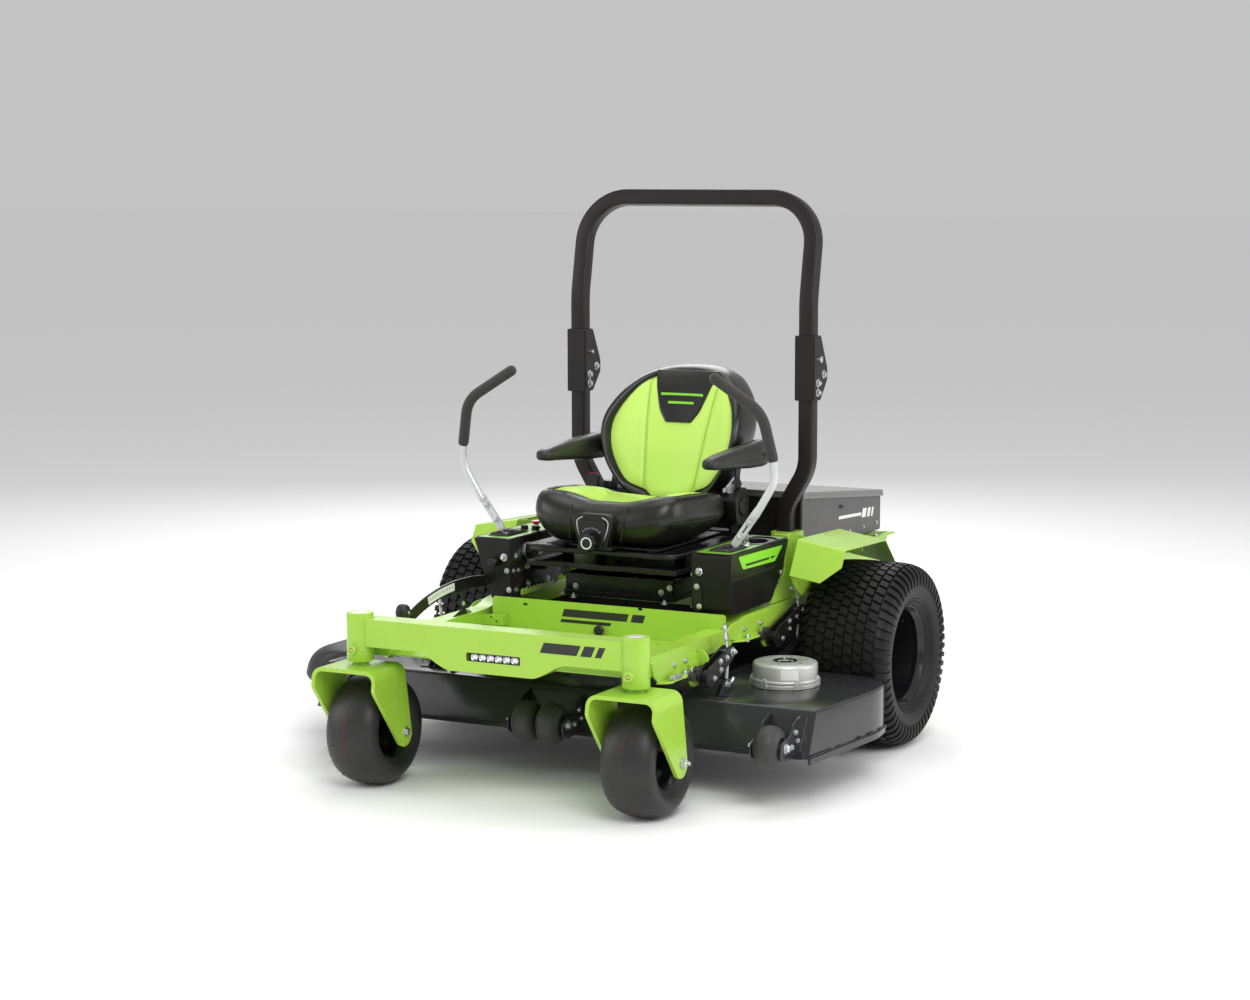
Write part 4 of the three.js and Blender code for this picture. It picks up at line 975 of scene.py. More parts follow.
def deck_shell():
    outer = [wall_ring(DECK_LOW), wall_ring(DECK_TOP - 8), wall_ring(DECK_TOP - 4.4, 1.1),
             wall_ring(DECK_TOP - 1.2, 4), wall_ring(DECK_TOP, 8)]
    inner = [wall_ring(DECK_TOP - 6, 12), wall_ring(DECK_LOW, 5)]
    n = len(outer[0])
    shape = Shape()
    points = [p for ring in outer + inner for p in ring]
    faces = []
    for i in range(4):
        faces += [(i * n + j, i * n + (j + 1) % n, (i + 1) * n + (j + 1) % n, (i + 1) * n + j)
                  for j in range(n)]
    faces.append([4 * n + j for j in range(n)])
    faces.append([5 * n + j for j in range(n)][::-1])
    faces += [(5 * n + j, 5 * n + (j + 1) % n, 6 * n + (j + 1) % n, 6 * n + j) for j in range(n)]
    faces += [(6 * n + j, 6 * n + (j + 1) % n, (j + 1) % n, j) for j in range(n)]
    shape.put(points, faces)
    deck = make("deck_skin", shape, "deck", "deck_paint", 0, 22, ["deck_shell"])
    carve(deck, Shape().box(-900, -825, -745, -415, 140, 266))
    parts = Shape()
    for s in (1, -1):
        ear = round_corners([(-800, 280), (-706, 280), (-722, 306), (-736, 318), (-764, 318), (-778, 306)], 6,
                            3)
        for near, far in ((-12, -7), (7, 12)):
            parts.prism("x", ear, s * 490 + near, s * 490 + far)
        parts.bar((s * 490 - 16, -750, 306), (s * 490 + 16, -750, 306), 7)
        rear = [(-420, 280), (-320, 280), (-140, 316), (-148, 340), (-160, 346), (-190, 344), (-400, 298)]
        for x in (473, 487):
            parts.prism("x", round_corners(rear, 8, 4), s * x - 2.5, s * x + 2.5)
        foot = round_corners([(s * 486, -800), (s * 530, -800), (s * 530, -706), (s * 486, -706)], 6, 3)
        parts.prism("z", foot, 280, 284)
    make("deck_ears", parts, "deck", "deck_paint", 0.8, 35)
    ribs = Shape()
    for s in (1, -1):
        channel = [(-840, 280), (-832, 292), (-330, 292), (-322, 280)]
        ribs.prism("x", round_corners(channel, 5, 3), s * 395 - 2.2, s * 395 + 2.2)
    ribs.prism("x", round_corners([(-560, 280), (-548, 300), (-320, 300), (-310, 280)], 5, 3), -12, -7)
    ribs.prism("x", round_corners([(-560, 280), (-548, 300), (-320, 300), (-310, 280)], 5, 3), 7, 12)
    make("deck_ribs", ribs, "deck", "deck_paint", 0.8, 35)
    strip = Shape()
    line = [Vector((836, -912, 0)), Vector((850, -760, 0)), Vector((867, -600, 0)), Vector((876, -490, 0)),
            Vector((861, -400, 0))]
    line = rounded(line, 40, 5)
    strip.sweep([Vector((p.x, p.y, 143)) for p in line], [(-12, -5), (-12, 4), (12, 4), (12, -5)], (0, 0, 1))
    strip.sweep([Vector((p.x + 2, p.y, 152)) for p in line], [(-3, -5), (-3, 6), (0, 6), (0, -5)], (0, 0, 1))
    make("deck_side_strip", strip, "deck", "deck_paint", 0.8, 35)
    low = Shape()
    low.prism("x", [(-921, 146), (-914, 146), (-911, 158), (-918, 158)], -815, 815)
    make("deck_front_strip", low, "deck", "deck_paint", 0.8, 35)
    welds = Shape()
    welds.weld([(804 + (z - 164) * 0.06, -909 + (z - 164) * 0.446 - 1, z) for z in range(166, 266, 4)], 3)
    for x in range(-740, 780, 190):
        welds.weld([(x, -917, 160), (x + 46, -917, 160)], 2.2)
    for i in range(5):
        a, b = line[i * 4], line[i * 4 + 2]
        welds.weld([(a.x + 4, a.y, 156), (b.x + 4, b.y, 156)], 2.6)
    for s in (1, -1):
        for y0, y1 in ((-796, -760), (-742, -710)):
            welds.weld([(s * 503, y0, 281), (s * 503, y1, 281)], 2.4)
        for y0, y1 in ((-410, -380), (-360, -330)):
            welds.weld([(s * 491, y0, 281 + (y0 + 420) * 0.02), (s * 491, y1, 281)], 2.4)
    make("deck_welds", welds, "deck", "deck_paint")
    bolts = Shape()
    for x, y in ((-770, -420), (-770, -740), (330, -640), (330, -420), (-330, -640), (-330, -420)):
        bolts.nut((x, y, 280), (0, 0, 1), 13, 6)
    for s in (1, -1):
        bolts.nut((s * 502, -750, 306), (s, 0, 0), 15, 8)
    make("deck_bolts", bolts, "deck", "zinc", 0.4)


SPINDLES = {"left": (600, -548), "centre": (0, -580), "right": (-600, -548)}


def deck_motor(name):
    x, y = SPINDLES[name]
    z = DECK_TOP
    can = Shape().lathe("z", [(0.01, z + 0.5), (100, z + 0.5), (102, z + 2), (102, z + 11), (100.5, z + 12.5),
                              (99.5, z + 14), (101.5, z + 15.5), (102, z + 17), (102, z + 23),
                              (100.5, z + 25), (98.2, z + 26), (98, z + 62), (97, z + 67), (94, z + 70.5),
                              (88, z + 72.4), (60, z + 73.6), (40, z + 74), (38, z + 73), (0.01, z + 73)],
                        (x, y, 0), 96)
    make("motor_can_" + name, can, "deck", "cast", 0, 38, ["deck_motor_" + name])
    lugs = Shape()
    for i in range(6):
        t = 2 * math.pi * (i + 0.25) / 6
        lugs.turn = Matrix.Translation((x, y, 0)) @ Matrix.Rotation(t, 4, "Z")
        lugs.box(90, 105.5, -11, 11, z + 1, z + 24)
        lugs.box(90, 104, -7.5, 7.5, z + 24, z + 28)
    make("motor_lugs_" + name, lugs, "deck", "cast", 1.8, 35)
    dark = Shape()
    dark.lathe("z", [(16, z + 73.1), (37, z + 73.1), (37, z + 74.3), (16, z + 74.3)], (x, y, 0), 64)
    for i in range(6):
        t = 2 * math.pi * (i + 0.6) / 6
        at = (x + 66 * math.cos(t), y + 66 * math.sin(t), 0)
        dark.lathe("z", [(0.01, z + 73.0), (3.4, z + 73.0), (3.4, z + 73.9), (0.01, z + 73.9)], at, 16)
    make("motor_rings_" + name, dark, "deck", "gloss_black", 0.3)
    label = Shape()
    rows = []
    for i in range(13):
        t = math.radians(-74 + i * 2.6)
        rows.append([(x + 98.8 * math.cos(t), y + 98.8 * math.sin(t), z + h) for h in (31, 61)])
    for i in range(12):
        (a, b), (c, d) = rows[i], rows[i + 1]
        mid = Vector((x, y, 0))
        inner = [Vector(p) + (mid - Vector((p[0], p[1], 0))).normalized() * 2 for p in (a, c, d, b)]
        label.put([a, c, d, b, *inner], [(0, 1, 2, 3), (4, 7, 6, 5), (0, 4, 5, 1), (1, 5, 6, 2), (2, 6, 7, 3),
                                         (3, 7, 4, 0)])
    make("motor_label_" + name, label, "deck", "white", 0, 60)
    bolts = Shape()
    for i in range(6):
        t = 2 * math.pi * (i + 0.25) / 6
        bolts.nut((x + 99 * math.cos(t), y + 99 * math.sin(t), z + 28), (0, 0, 1), 8, 3, washer=False)
    for i in range(3):
        t = 2 * math.pi * i / 3
        bolts.nut((x + 22 * math.cos(t), y + 22 * math.sin(t), z + 73), (0, 0, 1), 8, 3, washer=False)
    make("motor_bolts_" + name, bolts, "deck", "zinc", 0.4)
    plug = Shape()
    side = -1 if name == "right" else 1
    plug.box(x - side * 40 - 16, x - side * 40 + 16, y + 84, y + 112, z + 26, z + 50)
    plug.tube([(x - side * 40, y + 110, z + 38), (x - side * 40, y + 122, z + 38)], 9, 18)
    make("motor_plug_" + name, plug, "deck", "plastic", 1.5)


def blade(name):
    x, y = SPINDLES[name]
    reach = 312 if name == "centre" else 220
    body = "blade_" + name
    z0 = 160
    bar = Shape()
    for s in (1, -1):
        rings = []
        for i in range(17):
            t = i / 16
            r = t * (reach - 1)
            lift = 18 * max(0, (t - 0.7) / 0.3) ** 1.5
            cut = 4.5 if t > 0.55 else 4.5 * max(0, (t - 0.5) / 0.05)
            wide = 30 - 6 * t * t
            rings.append([(x + s * r, y - s * (wide), z0 - 3 + cut * 0.8),
                          (x + s * r, y - s * (wide - 12), z0 - 3), (x + s * r, y + s * 8, z0 - 3),
                          (x + s * r, y + s * wide, z0 - 3 + lift), (x + s * r, y + s * wide, z0 + 3 + lift),
                          (x + s * r, y + s * 8, z0 + 3), (x + s * r, y - s * (wide - 12), z0 + 3),
                          (x + s * r, y - s * wide, z0 - 2 + cut * 0.8)])
        bar.loft(rings)
    make("blade_bar_" + name, bar, body, "blade", 0, 30, ["blade_" + name])
    hub = Shape()
    hub.lathe("z", [(0.01, 163), (30, 163), (32, 166), (32, 170), (20, 174), (17, 176), (17, 276),
                    (0.01, 276)], (x, y, 0), 40)
    hub.nut((x, y, 157), (0, 0, -1), 24, 9)
    make("blade_hub_" + name, hub, body, "zinc", 0.6)


ROLLER_Y, ROLLER_Z = -985, 190
ROLLER_STANDS = ((745, 44), (0, 89), (-670, 44))
ROLLERS = {"left": 745, "centre_left": 41, "centre_right": -41, "right": -670}


def roller(name, x):
    y, z, r = ROLLER_Y, ROLLER_Z, 62
    half = 38
    body = "roller_" + name
    edge = [(r, 0), (r - 0.6, 9), (r - 2.6, 17), (r - 6.4, 24), (r - 12, 30), (r - 19, 34.6), (r - 26, 37.4),
            (r - 31, half), (28, half - 1), (26, half - 7), (15, half - 8), (14, half), (6.6, half)]
    profile = [(a, -h) for a, h in edge[::-1]] + edge[1:]
    make("roller_skin_" + name, Shape().lathe("x", profile, (x, y, z), 72), body, "roller", 0, 35, [body])
    marks = Shape()
    for s in (1, -1):
        for i in range(8):
            t = 2 * math.pi * i / 8
            u = Vector((0, math.cos(t), math.sin(t)))
            v = Vector((0, -math.sin(t), math.cos(t)))
            a = Vector((x + s * (half - 4.5), y, z))
            ring = [a + u * 14 - v * 1.5, a + u * 14 + v * 1.5, a + u * 27 + v * 1.5, a + u * 27 - v * 1.5]
            marks.loft([ring, [p - Vector((s * 5.0, 0, 0)) for p in ring]])
    make("roller_ribs_" + name, marks, body, "roller", 0)


def roller_brackets():
    plates = Shape()
    bolts = Shape()
    cheek = round_corners([(-1020, 180), (-1012, 202), (-985, 216), (-958, 216), (-930, 250), (-876, 266),
                           (-868, 240), (-898, 164), (-930, 154), (-985, 148), (-1012, 160)], 9, 4)
    for x, reach in ROLLER_STANDS:
        for s in (1, -1):
            a = x + s * reach
            plates.prism("x", cheek, a, a + s * 6)
            bolts.nut((a + s * 6, ROLLER_Y, ROLLER_Z), (s, 0, 0), 19, 9, stud=6 if s < 0 else 0)
            for y, z in ((-944, 186), (-916, 224), (-900, 196)):
                bolts.nut((a + s * 6, y, z), (s, 0, 0), 12, 5)
        bolts.bar((x - reach, ROLLER_Y, ROLLER_Z), (x + reach, ROLLER_Y, ROLLER_Z), 6.4)
    make("roller_cheeks", plates, "deck", "deck_paint", 1.2, 35)
    backs = Shape()
    for x, reach in ROLLER_STANDS:
        backs.prism("x", [(-908, 168), (-903, 168), (-868, 262), (-874, 262)], x - reach, x + reach)
    make("roller_backs", backs, "deck", "deck_paint", 0.8)
    make("roller_bolts", bolts, "deck", "zinc", 0.4)


def chute():
    skin = [(0, 288), (60, 287.5), (110, 286), (150, 280), (182, 264), (204, 238), (214, 206)]
    line = rounded([(x, 0, z) for x, z in skin], 16, 4)
    rings = []
    for i in range(40):
        y = -719 + 388 * i / 39
        near = min(1, (y + 719) / 125)
        reach = 0.46 + 0.54 * math.sqrt(1 - (1 - near) ** 2.4)
        droop = 34 * (1 - near) ** 2.2
        ring = []
        for thick in (0, 5):
            points = []
            for p in line:
                t = p.x / 214
                points.append((-848 - (p.x - thick * t ** 2) * reach, y, p.z - thick * (1 - 0.4 * t ** 2)
                               - droop * t ** 1.5))
            ring += points if not thick else points[::-1]
        rings.append(ring)
    make("chute_skin", Shape().loft(rings), "chute", "rubber", 0, 50, ["discharge_chute"])
    hinge = Shape()
    hinge.bar((-848, -700, 285), (-848, -345, 285), 4.6)
    for y in (-690, -580, -470, -360):
        hinge.tube([(-848, y - 16, 285), (-848, y + 16, 285)], 8.5, 20)
        hinge.prism("z", round_corners([(-850, y - 14), (-806, y - 14), (-806, y + 14), (-850, y + 14)], 4,
                                       3), 282, 286)
    coil = []
    for i in range(90):
        t = i / 89
        coil.append((-848 + 10.4 * math.cos(i * 0.9), -560 + 44 * t, 285 + 10.4 * math.sin(i * 0.9)))
    hinge.tube(coil, 1.4, 8)
    make("chute_hinge", hinge, "deck", "zinc", 0.4)


# Deck lift linkage ---------------------------------------------------------------------------


FRONT_SHAFT, REAR_SHAFT = (-865, 350), (-356, 384)


def lift_shaft(body, y, z, pin, arm_x):
    """One lift cross shaft with its paired arms, J hooks and rubber isolators."""
    shaft = Shape()
    half = 497
    shaft.bar((-half, y, z), (half, y, z), 12.6, 32)
    py, pz = pin
    for s in (1, -1):
        for x in (arm_x - 12, arm_x + 12):
            d = Vector((py - y, pz - z)).normalized()
            w = Vector((-d.y, d.x))
            a, b = Vector((y, z)), Vector((py, pz))
            outline = [a - d * 30 + w * 14, a - d * 30 - w * 14, a - w * 34, b - w * 24, b + d * 20 - w * 10,
                       b + d * 22 + w * 8, b + w * 22, a + w * 30]
            shaft.prism("x", round_corners([(p.x, p.y) for p in outline], 10, 4), s * x - 2.6, s * x + 2.6)
        shaft.tube([(s * (arm_x - 26), y, z), (s * (arm_x + 10), y, z)], 19, 28)
    make("shaft_skin_" + body, shaft, body, "black_paint", 0.8, 35, [body.replace("lift_", "lift_shaft_")])
    bright = Shape()
    for s in (1, -1):
        x = s * arm_x
        bright.nut((s * (arm_x + 15), py, pz), (s, 0, 0), 17, 9, stud=5)
        bright.nut((s * (arm_x - 15), py, pz), (-s, 0, 0), 17, 8)
        bright.bar((s * (arm_x - 14), py, pz), (s * (arm_x + 14), py, pz), 7)
        bright.nut((s * (arm_x + 2), y, z), (s, 0, 0), 16, 9)
        stud_top = (x, py - 24, pz + 86)
        bright.thread((x, py - 6, pz + 14), stud_top, 5.2)
        bright.nut((x, py - 20, pz + 70), Vector((0, -0.24, 1)), 12, 6)
        bright.nut((x, py - 12, pz + 40), Vector((0, -0.24, 1)), 12, 6)
        hook = rounded([(x, py, pz - 8), (x, py - 6, pz - 60), (x, py - 10, pz - 88),
                        (x + s * 2, py + 14, pz - 100), (x + s * 4, py + 30, pz - 84)], 12, 5)
        bright.tube(hook, 5, 14)
        for t, w in ((0.12, -16), (0.45, 14), (0.42, -12), (0.74, 2)):
            bright.nut((s * (arm_x + 15), y + (py - y) * t - w * 0.3, z + (pz - z) * t + w * 0.9), (s, 0, 0),
                       12, 5)
    make("shaft_bright_" + body, bright, body, "zinc", 0.4)
    iso = Shape()
    for s in (1, -1):
        for dy, dz, r in ((-58, 26, 15), (-92, 16, 15)):
            at = Vector((s * (arm_x - 4), y + dy, z + dz))
            iso.lathe("x", [(3, -8), (r - 2, -8), (r, -5), (r - 3, 0), (r, 5), (r - 2, 8), (3, 8)], at, 24)
    return iso


def linkages():
    front = lift_shaft("lift_front", *FRONT_SHAFT, (-720, 400), 490)
    rear = lift_shaft("lift_rear", *REAR_SHAFT, (-170, 440), 480)
    make("isolators_front", front, "lift_front", "rubber")
    make("isolators_rear", rear, "lift_rear", "rubber")
    brackets = Shape()
    for s in (1, -1):
        for y, z in (FRONT_SHAFT, REAR_SHAFT):
            plate = [(y - 46, 392), (y - 40, z - 20), (y - 20, z - 30), (y + 20, z - 30), (y + 34, z - 16),
                     (y + 46, 392)]
            brackets.prism("x", round_corners(plate, 8, 4), s * 452, s * 458)
    piece = make("shaft_hangers", brackets, "chassis", "green", 0.8, 35)
    carve(piece, *[Shape().bar((s * 440, y, z), (s * 470, y, z), 13.4, 32) for s in (1, -1)
                   for y, z in (FRONT_SHAFT, REAR_SHAFT)])
    blocks = Shape()
    for s in (1, -1):
        blocks.box(s * 462, s * 480, -1058, -1007, 371, 384)
        blocks.tube([(s * 470, -1058, 377), (s * 470, -1066, 377)], 6, 16)
    make("stop_blocks", blocks, "chassis", "zinc", 1.2)


# Height scale --------------------------------------------------------------------------------


def height_scale():
    curve = []
    p0, p1, p2 = Vector((-1062, 478)), Vector((-880, 564)), Vector((-605.4, 532))
    for i in range(33):
        t = i / 32
        curve.append(p0 * (1 - t) ** 2 + p1 * 2 * t * (1 - t) + p2 * t * t)
    top, low = [], []
    for i, p in enumerate(curve):
        a, b = curve[max(0, i - 1)], curve[min(32, i + 1)]
        d = (b - a).normalized()
        w = Vector((-d.y, d.x))
        top.append(p + w * 18)
        low.append(p - w * 18)
    outline = [(p.x, p.y) for p in top] + [(p.x, p.y) for p in low[::-1]]
    foot = [(-1085, 449), (-1045, 449), (-1038, 486), (-1080, 490)]
    plate = Shape().prism("x", outline, -409, -403)
    plate.prism("x", round_corners(foot, 6, 3), -409, -403)
    plate.prism("z", [(-409, -1085), (-398, -1085), (-398, -1045), (-409, -1045)], 448.4, 452)
    make("scale_plate", plate, "chassis", "black_paint", 0.8, 35, ["height_dial"])
    slot = []
    for i in range(4, 29):
        a, b = curve[i - 1], curve[i + 1]
        slot.append((curve[i], (b - a).normalized()))
    label = Shape()
    up = [p + Vector((-d.y, d.x)) * 13 for p, d in slot[5:17]]
    dn = [p + Vector((-d.y, d.x)) * -11 for p, d in slot[5:17]]
    label.prism("x", [(p.x, p.y) for p in up] + [(p.x, p.y) for p in dn[::-1]], -410.2, -409)
    label.prism("x", [(p.x, p.y) for p in up] + [(p.x, p.y) for p in dn[::-1]], -403, -401.8)
    make("scale_label", label, "chassis", "white", 0, 30)
    ticks = Shape()
    for p, d in slot[6:16]:
        w = Vector((-d.y, d.x))
        a, b = p - w * 2, p + w * 6
        ring = [a - d * 0.9, a + d * 0.9, b + d * 0.9, b - d * 0.9]
        ticks.prism("x", [(q.x, q.y) for q in ring], -410.8, -410.0)
        ticks.prism("x", [(q.x, q.y) for q in ring], -402.0, -401.2)
    make("scale_ticks", ticks, "chassis", "ink", 0)
    knob = Shape().lathe("x", [(0.01, -428), (14, -428), (22, -424), (25, -418), (25, -404), (22, -398),
                               (14, -394), (0.01, -394)], (0, -1083, 504), 40)
    make("scale_stop_knob", knob, "chassis", "rubber")
    pin = Shape().bar((-434, -1083, 504), (-388, -1083, 504), 5)
    pin.nut((-403, -1064, 466), (1, 0, 0), 11, 5)
    make("scale_pin", pin, "chassis", "zinc", 0.3)
    rise = 448.4
    shape = [(-815, 0), (-703, 0), (-748, 18), (-750, 60), (-746, 62), (-754, 82), (-762, 62), (-758, 60),
             (-760, 18)]
    arm = Shape().prism("x", [(y, rise + z) for y, z in shape], -400.8, -396)
    make("pointer_skin", arm, "pointer", "black_paint", 0.6, 35, ["height_pointer"])
    tip = Shape()
    tip.nut((-396, -756, rise + 34), (1, 0, 0), 10, 4)
    tip.nut((-396, -730, rise + 7), (1, 0, 0), 9, 4)
    make("pointer_bolts", tip, "pointer", "zinc", 0.3)

# Seat ----------------------------------------------------------------------------------------


BACK_LEVELS = [(745, -140, 70, 125), (800, -122, 92, 175), (880, -96, 100, 228), (960, -62, 102, 252),
               (1040, -26, 100, 248), (1110, 14, 92, 215), (1150, 38, 80, 172), (1172, 56, 60, 115)]


def level(z, column):
    """A backrest measure at a height: 1 front, 2 depth, 3 half width."""
    rows = BACK_LEVELS
    if z <= rows[0][0]:
        return rows[0][column]
    for a, b in zip(rows, rows[1:]):
        if z <= b[0]:
            t = (z - a[0]) / (b[0] - a[0])
            return a[column] * (1 - t) + b[column] * t
    return rows[-1][column]


def outline_points(pairs, count):
    """A smooth closed outline through mirrored (half width, height) pairs, bottom to top."""
    right = [Vector((x, z)) for x, z in pairs]
    closed = [Vector((-p.x, p.y)) for p in reversed(right)] + right
    for _ in range(3):
        out = []
        n = len(closed)
        for i in range(n):
            a, b = closed[i], closed[(i + 1) % n]
            out += [a.lerp(b, 0.25), a.lerp(b, 0.75)]
        closed = out
    total = resample_closed([(p.x, p.y) for p in closed], count)
    start = max(range(count), key=lambda i: total[i].y - abs(total[i].x) * 0.2)
    return total[start:] + total[:start]


BACK_OUTER = [(0, 742), (60, 743), (112, 750), (148, 772), (180, 808), (214, 860), (238, 920), (247, 980),
              (242, 1030), (224, 1075), (198, 1112), (162, 1146), (112, 1168), (60, 1177), (0, 1179)]
BACK_SEAM = [(0, 757), (40, 757), (62, 762), (80, 782), (108, 792), (146, 806), (176, 845), (202, 893),
             (216, 940), (219, 985), (210, 1030), (182, 1082), (146, 1128), (104, 1149), (50, 1157),
             (0, 1159)]


def back_front(x, z):
    """The y of the upholstered front at a place on the backrest."""
    spine = [(745, -134), (800, -112), (860, -90), (920, -70), (1001, -42), (1060, -16), (1110, 8),
             (1159, 44), (1180, 74)]
    y = spine[-1][1]
    for (z0, y0), (z1, y1) in zip(spine, spine[1:]):
        if z <= z1:
            y = y0 + (y1 - y0) * max(0, (z - z0) / (z1 - z0))
            break
    u = min(1.12, abs(x) / 220)
    return y - 58 * u ** 2.2


def side_roll(p):
    """How far a place on the border belongs to the thick side rolls rather than the top and bottom."""
    return min(1, max(0, (abs(p.x) - 150) / 60)) * min(1, max(0, (1110 - p.y) / 80))


def backrest():
    count = 220
    outer = outline_points(BACK_OUTER, count)
    seam = outline_points(BACK_SEAM, count)
    centre = Vector((0, 960))

    def ring(points, shift):
        out = []
        for p in points:
            y = back_front(p.x, p.y) + shift(p)
            out.append(Vector((p.x, y, p.y)))
        return out

    def between(t):
        return [s.lerp(o, t) for s, o in zip(seam, outer)]

    # The lime field, from the middle out to the seam.
    lime = []
    for k in range(45):
        t = k / 44
        points = [centre.lerp(s, 0.02 + 0.965 * t) for s in seam]
        edge = 1 - t

        def puff(p, edge=edge):
            return -9 * (1 - (1 - min(1, edge * 6)) ** 2)
        lime.append(ring(points, puff))
    tucked = ring([centre.lerp(s, 0.985) for s in seam], lambda p: 3)
    lime.append(tucked)
    grooves = (125, 85)

    def groove_at(p):
        t = (p.z - 760) / 400
        at = grooves[1] + (grooves[0] - grooves[1]) * max(0, min(1, t))
        d = abs(abs(p.x) - at)
        return 6.5 * math.exp(-(d / 5.5) ** 2)
    for line in lime[:-1]:
        for p in line:
            p.y += groove_at(p)
            p.y -= 4 * math.exp(-((abs(p.x) - 165) / 40) ** 2)
    shape = Shape()
    shape.loft([lime[0]] + lime[1:], cap=True)
    back_lime = make("back_field", shape, "backrest", "vinyl_lime", 0, 60, ["seat_backrest"])
    # The black border, which rolls from the seam over the edge to the back shell.
    border = []
    for t, shift in ((-0.12, 4), (0.0, 3), (0.08, -3), (0.25, -9), (0.45, -11), (0.65, -7), (0.82, 0),
                     (0.94, 10), (1.0, 24)):
        border.append(ring(between(t), lambda p, s=shift: s - 12 * side_roll(p) * (s < 2)))
    depth = [level(p.y, 2) for p in outer]
    for t, inset in ((0.5, 0.0), (0.75, 0.01), (0.92, 0.03), (1.0, 0.08)):
        line = []
        for p, d in zip(outer, depth):
            q = p.lerp(centre, inset)
            y = back_front(p.x * 0.6, p.y) + d * t + 12 * t
            line.append(Vector((q.x, y, q.y)))
        border.append(line)
    last = border[-1]
    for k in (0.25, 0.5, 0.75, 0.97):
        line = []
        for v in last:
            q = v.lerp(Vector((0, v.y, 960)), k)
            behind = back_front(0, q.z) + level(q.z, 2) + 6
            q.y = v.y + (behind - v.y) * min(1, k * 1.4) + 6 * math.sin(min(1, k * 1.3) * math.pi)
            line.append(q)
        border.append(line)
    inner = ring([centre.lerp(s, 0.6) for s in seam], lambda p: 30)
    body = Shape()
    body.loft([inner] + border, cap=True)
    wrap = make("back_wrap", body, "backrest", "vinyl_black", 0, 60)
    # A darker lime cord laid in each seam groove. It marks the seam line, and its darker tone is painted
    # shade in the groove.
    seam_shade_cord = Shape()
    for s in (1, -1):
        line = [(s * (85 + 40 * (z - 760) / 400), z) for z in range(790, 1136, 6)]
        seam_shade_cord.tube([(x, back_front(x, z) - 7.6, z) for x, z in line], 1.4, 8)
    thread = make("back_seam_shade_cord", seam_shade_cord, "backrest", "seam", 0, 60)
    cord = Shape()
    cord.tube(ring([centre.lerp(s, 1.0) for s in seam], lambda p: -2.2), 2.5, 10, loop=True)
    piping = make("back_piping", cord, "backrest", "vinyl_black", 0, 60)
    # The black badge panel with cut lower corners.
    lines = []
    for k in range(13):
        z = 1001 + (1163 - 1001) * k / 12
        t = k / 12
        half = 46 + (70 - 46) * min(1, t / 0.2) + (113 - 70) * max(0, (t - 0.2) / 0.8) ** 0.9
        row_points = []
        for i in range(25):
            u = -1 + 2 * i / 24
            x = u * half
            y = back_front(x, z) - 15.5 + 3 * abs(u) ** 10
            row_points.append((x, y, z))
        lines.append(row_points)
    panel = Shape()
    back_lines = [[(x, y + 17, z) for x, y, z in line] for line in lines]
    m = len(lines[0])
    points = [p for line in lines for p in line] + [p for line in back_lines for p in line]
    total = len(lines) * m
    faces = []
    for i in range(len(lines) - 1):
        for j in range(m - 1):
            a = i * m + j
            faces.append((a, a + 1, a + m + 1, a + m))
            faces.append((total + a, total + a + m, total + a + m + 1, total + a + 1))
    rim = [j for j in range(m)] + [i * m + m - 1 for i in range(1, len(lines))] + \
          [(len(lines) - 1) * m + j for j in range(m - 2, -1, -1)] + [i * m
                                                                      for i in range(len(lines) - 2, 0, -1)]
    for a, b in zip(rim, rim[1:] + rim[:1]):
        faces.append((a, b, total + b, total + a))
    panel.put(points, faces)
    badge = make("back_badge_panel", panel, "backrest", "vinyl_black", 2.2, 35)
    plain = Shape()
    for z0, wide, x0 in ((1088, 150, -75), (1062, 92, -46)):
        points = []
        for i in range(13):
            x = x0 + wide * i / 12
            points.append((x, back_front(x, z0) - 16.0, z0))
        plain.sweep([Vector(p) for p in points], [(-4.5, -0.9), (-4.5, 0.9), (4.5, 0.9), (4.5, -0.9)],
                    (0, 0, 1))
    make("back_badge_bars", plain, "backrest", "badge", 0.4)
    stitches = Shape()
    path = ring([centre.lerp(s, 1.03) for s in seam], lambda p: -5.4)
    for i in range(0, len(path) - 1, 1):
        a, b = path[i], path[(i + 1) % len(path)]
        if (b - a).length > 3:
            stitches.tube([a.lerp(b, 0.2), a.lerp(b, 0.5) + Vector((0, -0.8, 0)), a.lerp(b, 0.8)], 0.7, 6)
    make("back_stitches", stitches, "backrest", "vinyl_black")


def back_shell():
    """The plastic back cover and recline brackets behind and beside the backrest."""
    cover = Shape()
    rings = []
    for z, half, front, deep in ((742, 95, -76, 16), (760, 112, -64, 22), (830, 150, -34, 26),
                                 (930, 176, 10, 26), (1030, 172, 54, 24), (1110, 138, 92, 20),
                                 (1146, 100, 112, 12)):
        outline = round_corners([(-half, front), (half, front), (half, front + deep),
                                 (half * 0.86, front + deep + 8), (-half * 0.86, front + deep + 8),
                                 (-half, front + deep)], 9, 4)
        rings.append([(x, y, z) for x, y in outline])
    cover.loft(rings)
    make("back_cover", cover, "backrest", "plastic", 0, 50)
    ribs = Shape()
    for x in (-90, -30, 30, 90):
        ribs.tube([(x, -26, 800), (x, 20, 900), (x, 62, 1000), (x, 100, 1080)], [2, 5, 5, 2], 10)
    make("back_cover_ribs", ribs, "backrest", "plastic")
    steel = Shape()
    for s in (1, -1):
        arm = [(-132, 728), (-92, 722), (-70, 760), (-40, 880), (-22, 930), (-60, 934), (-98, 800),
               (-128, 760)]
        steel.prism("x", round_corners(arm, 10, 4), s * 221, s * 216)
    make("recline_arms", steel, "backrest", "black_paint", 1.0, 35)


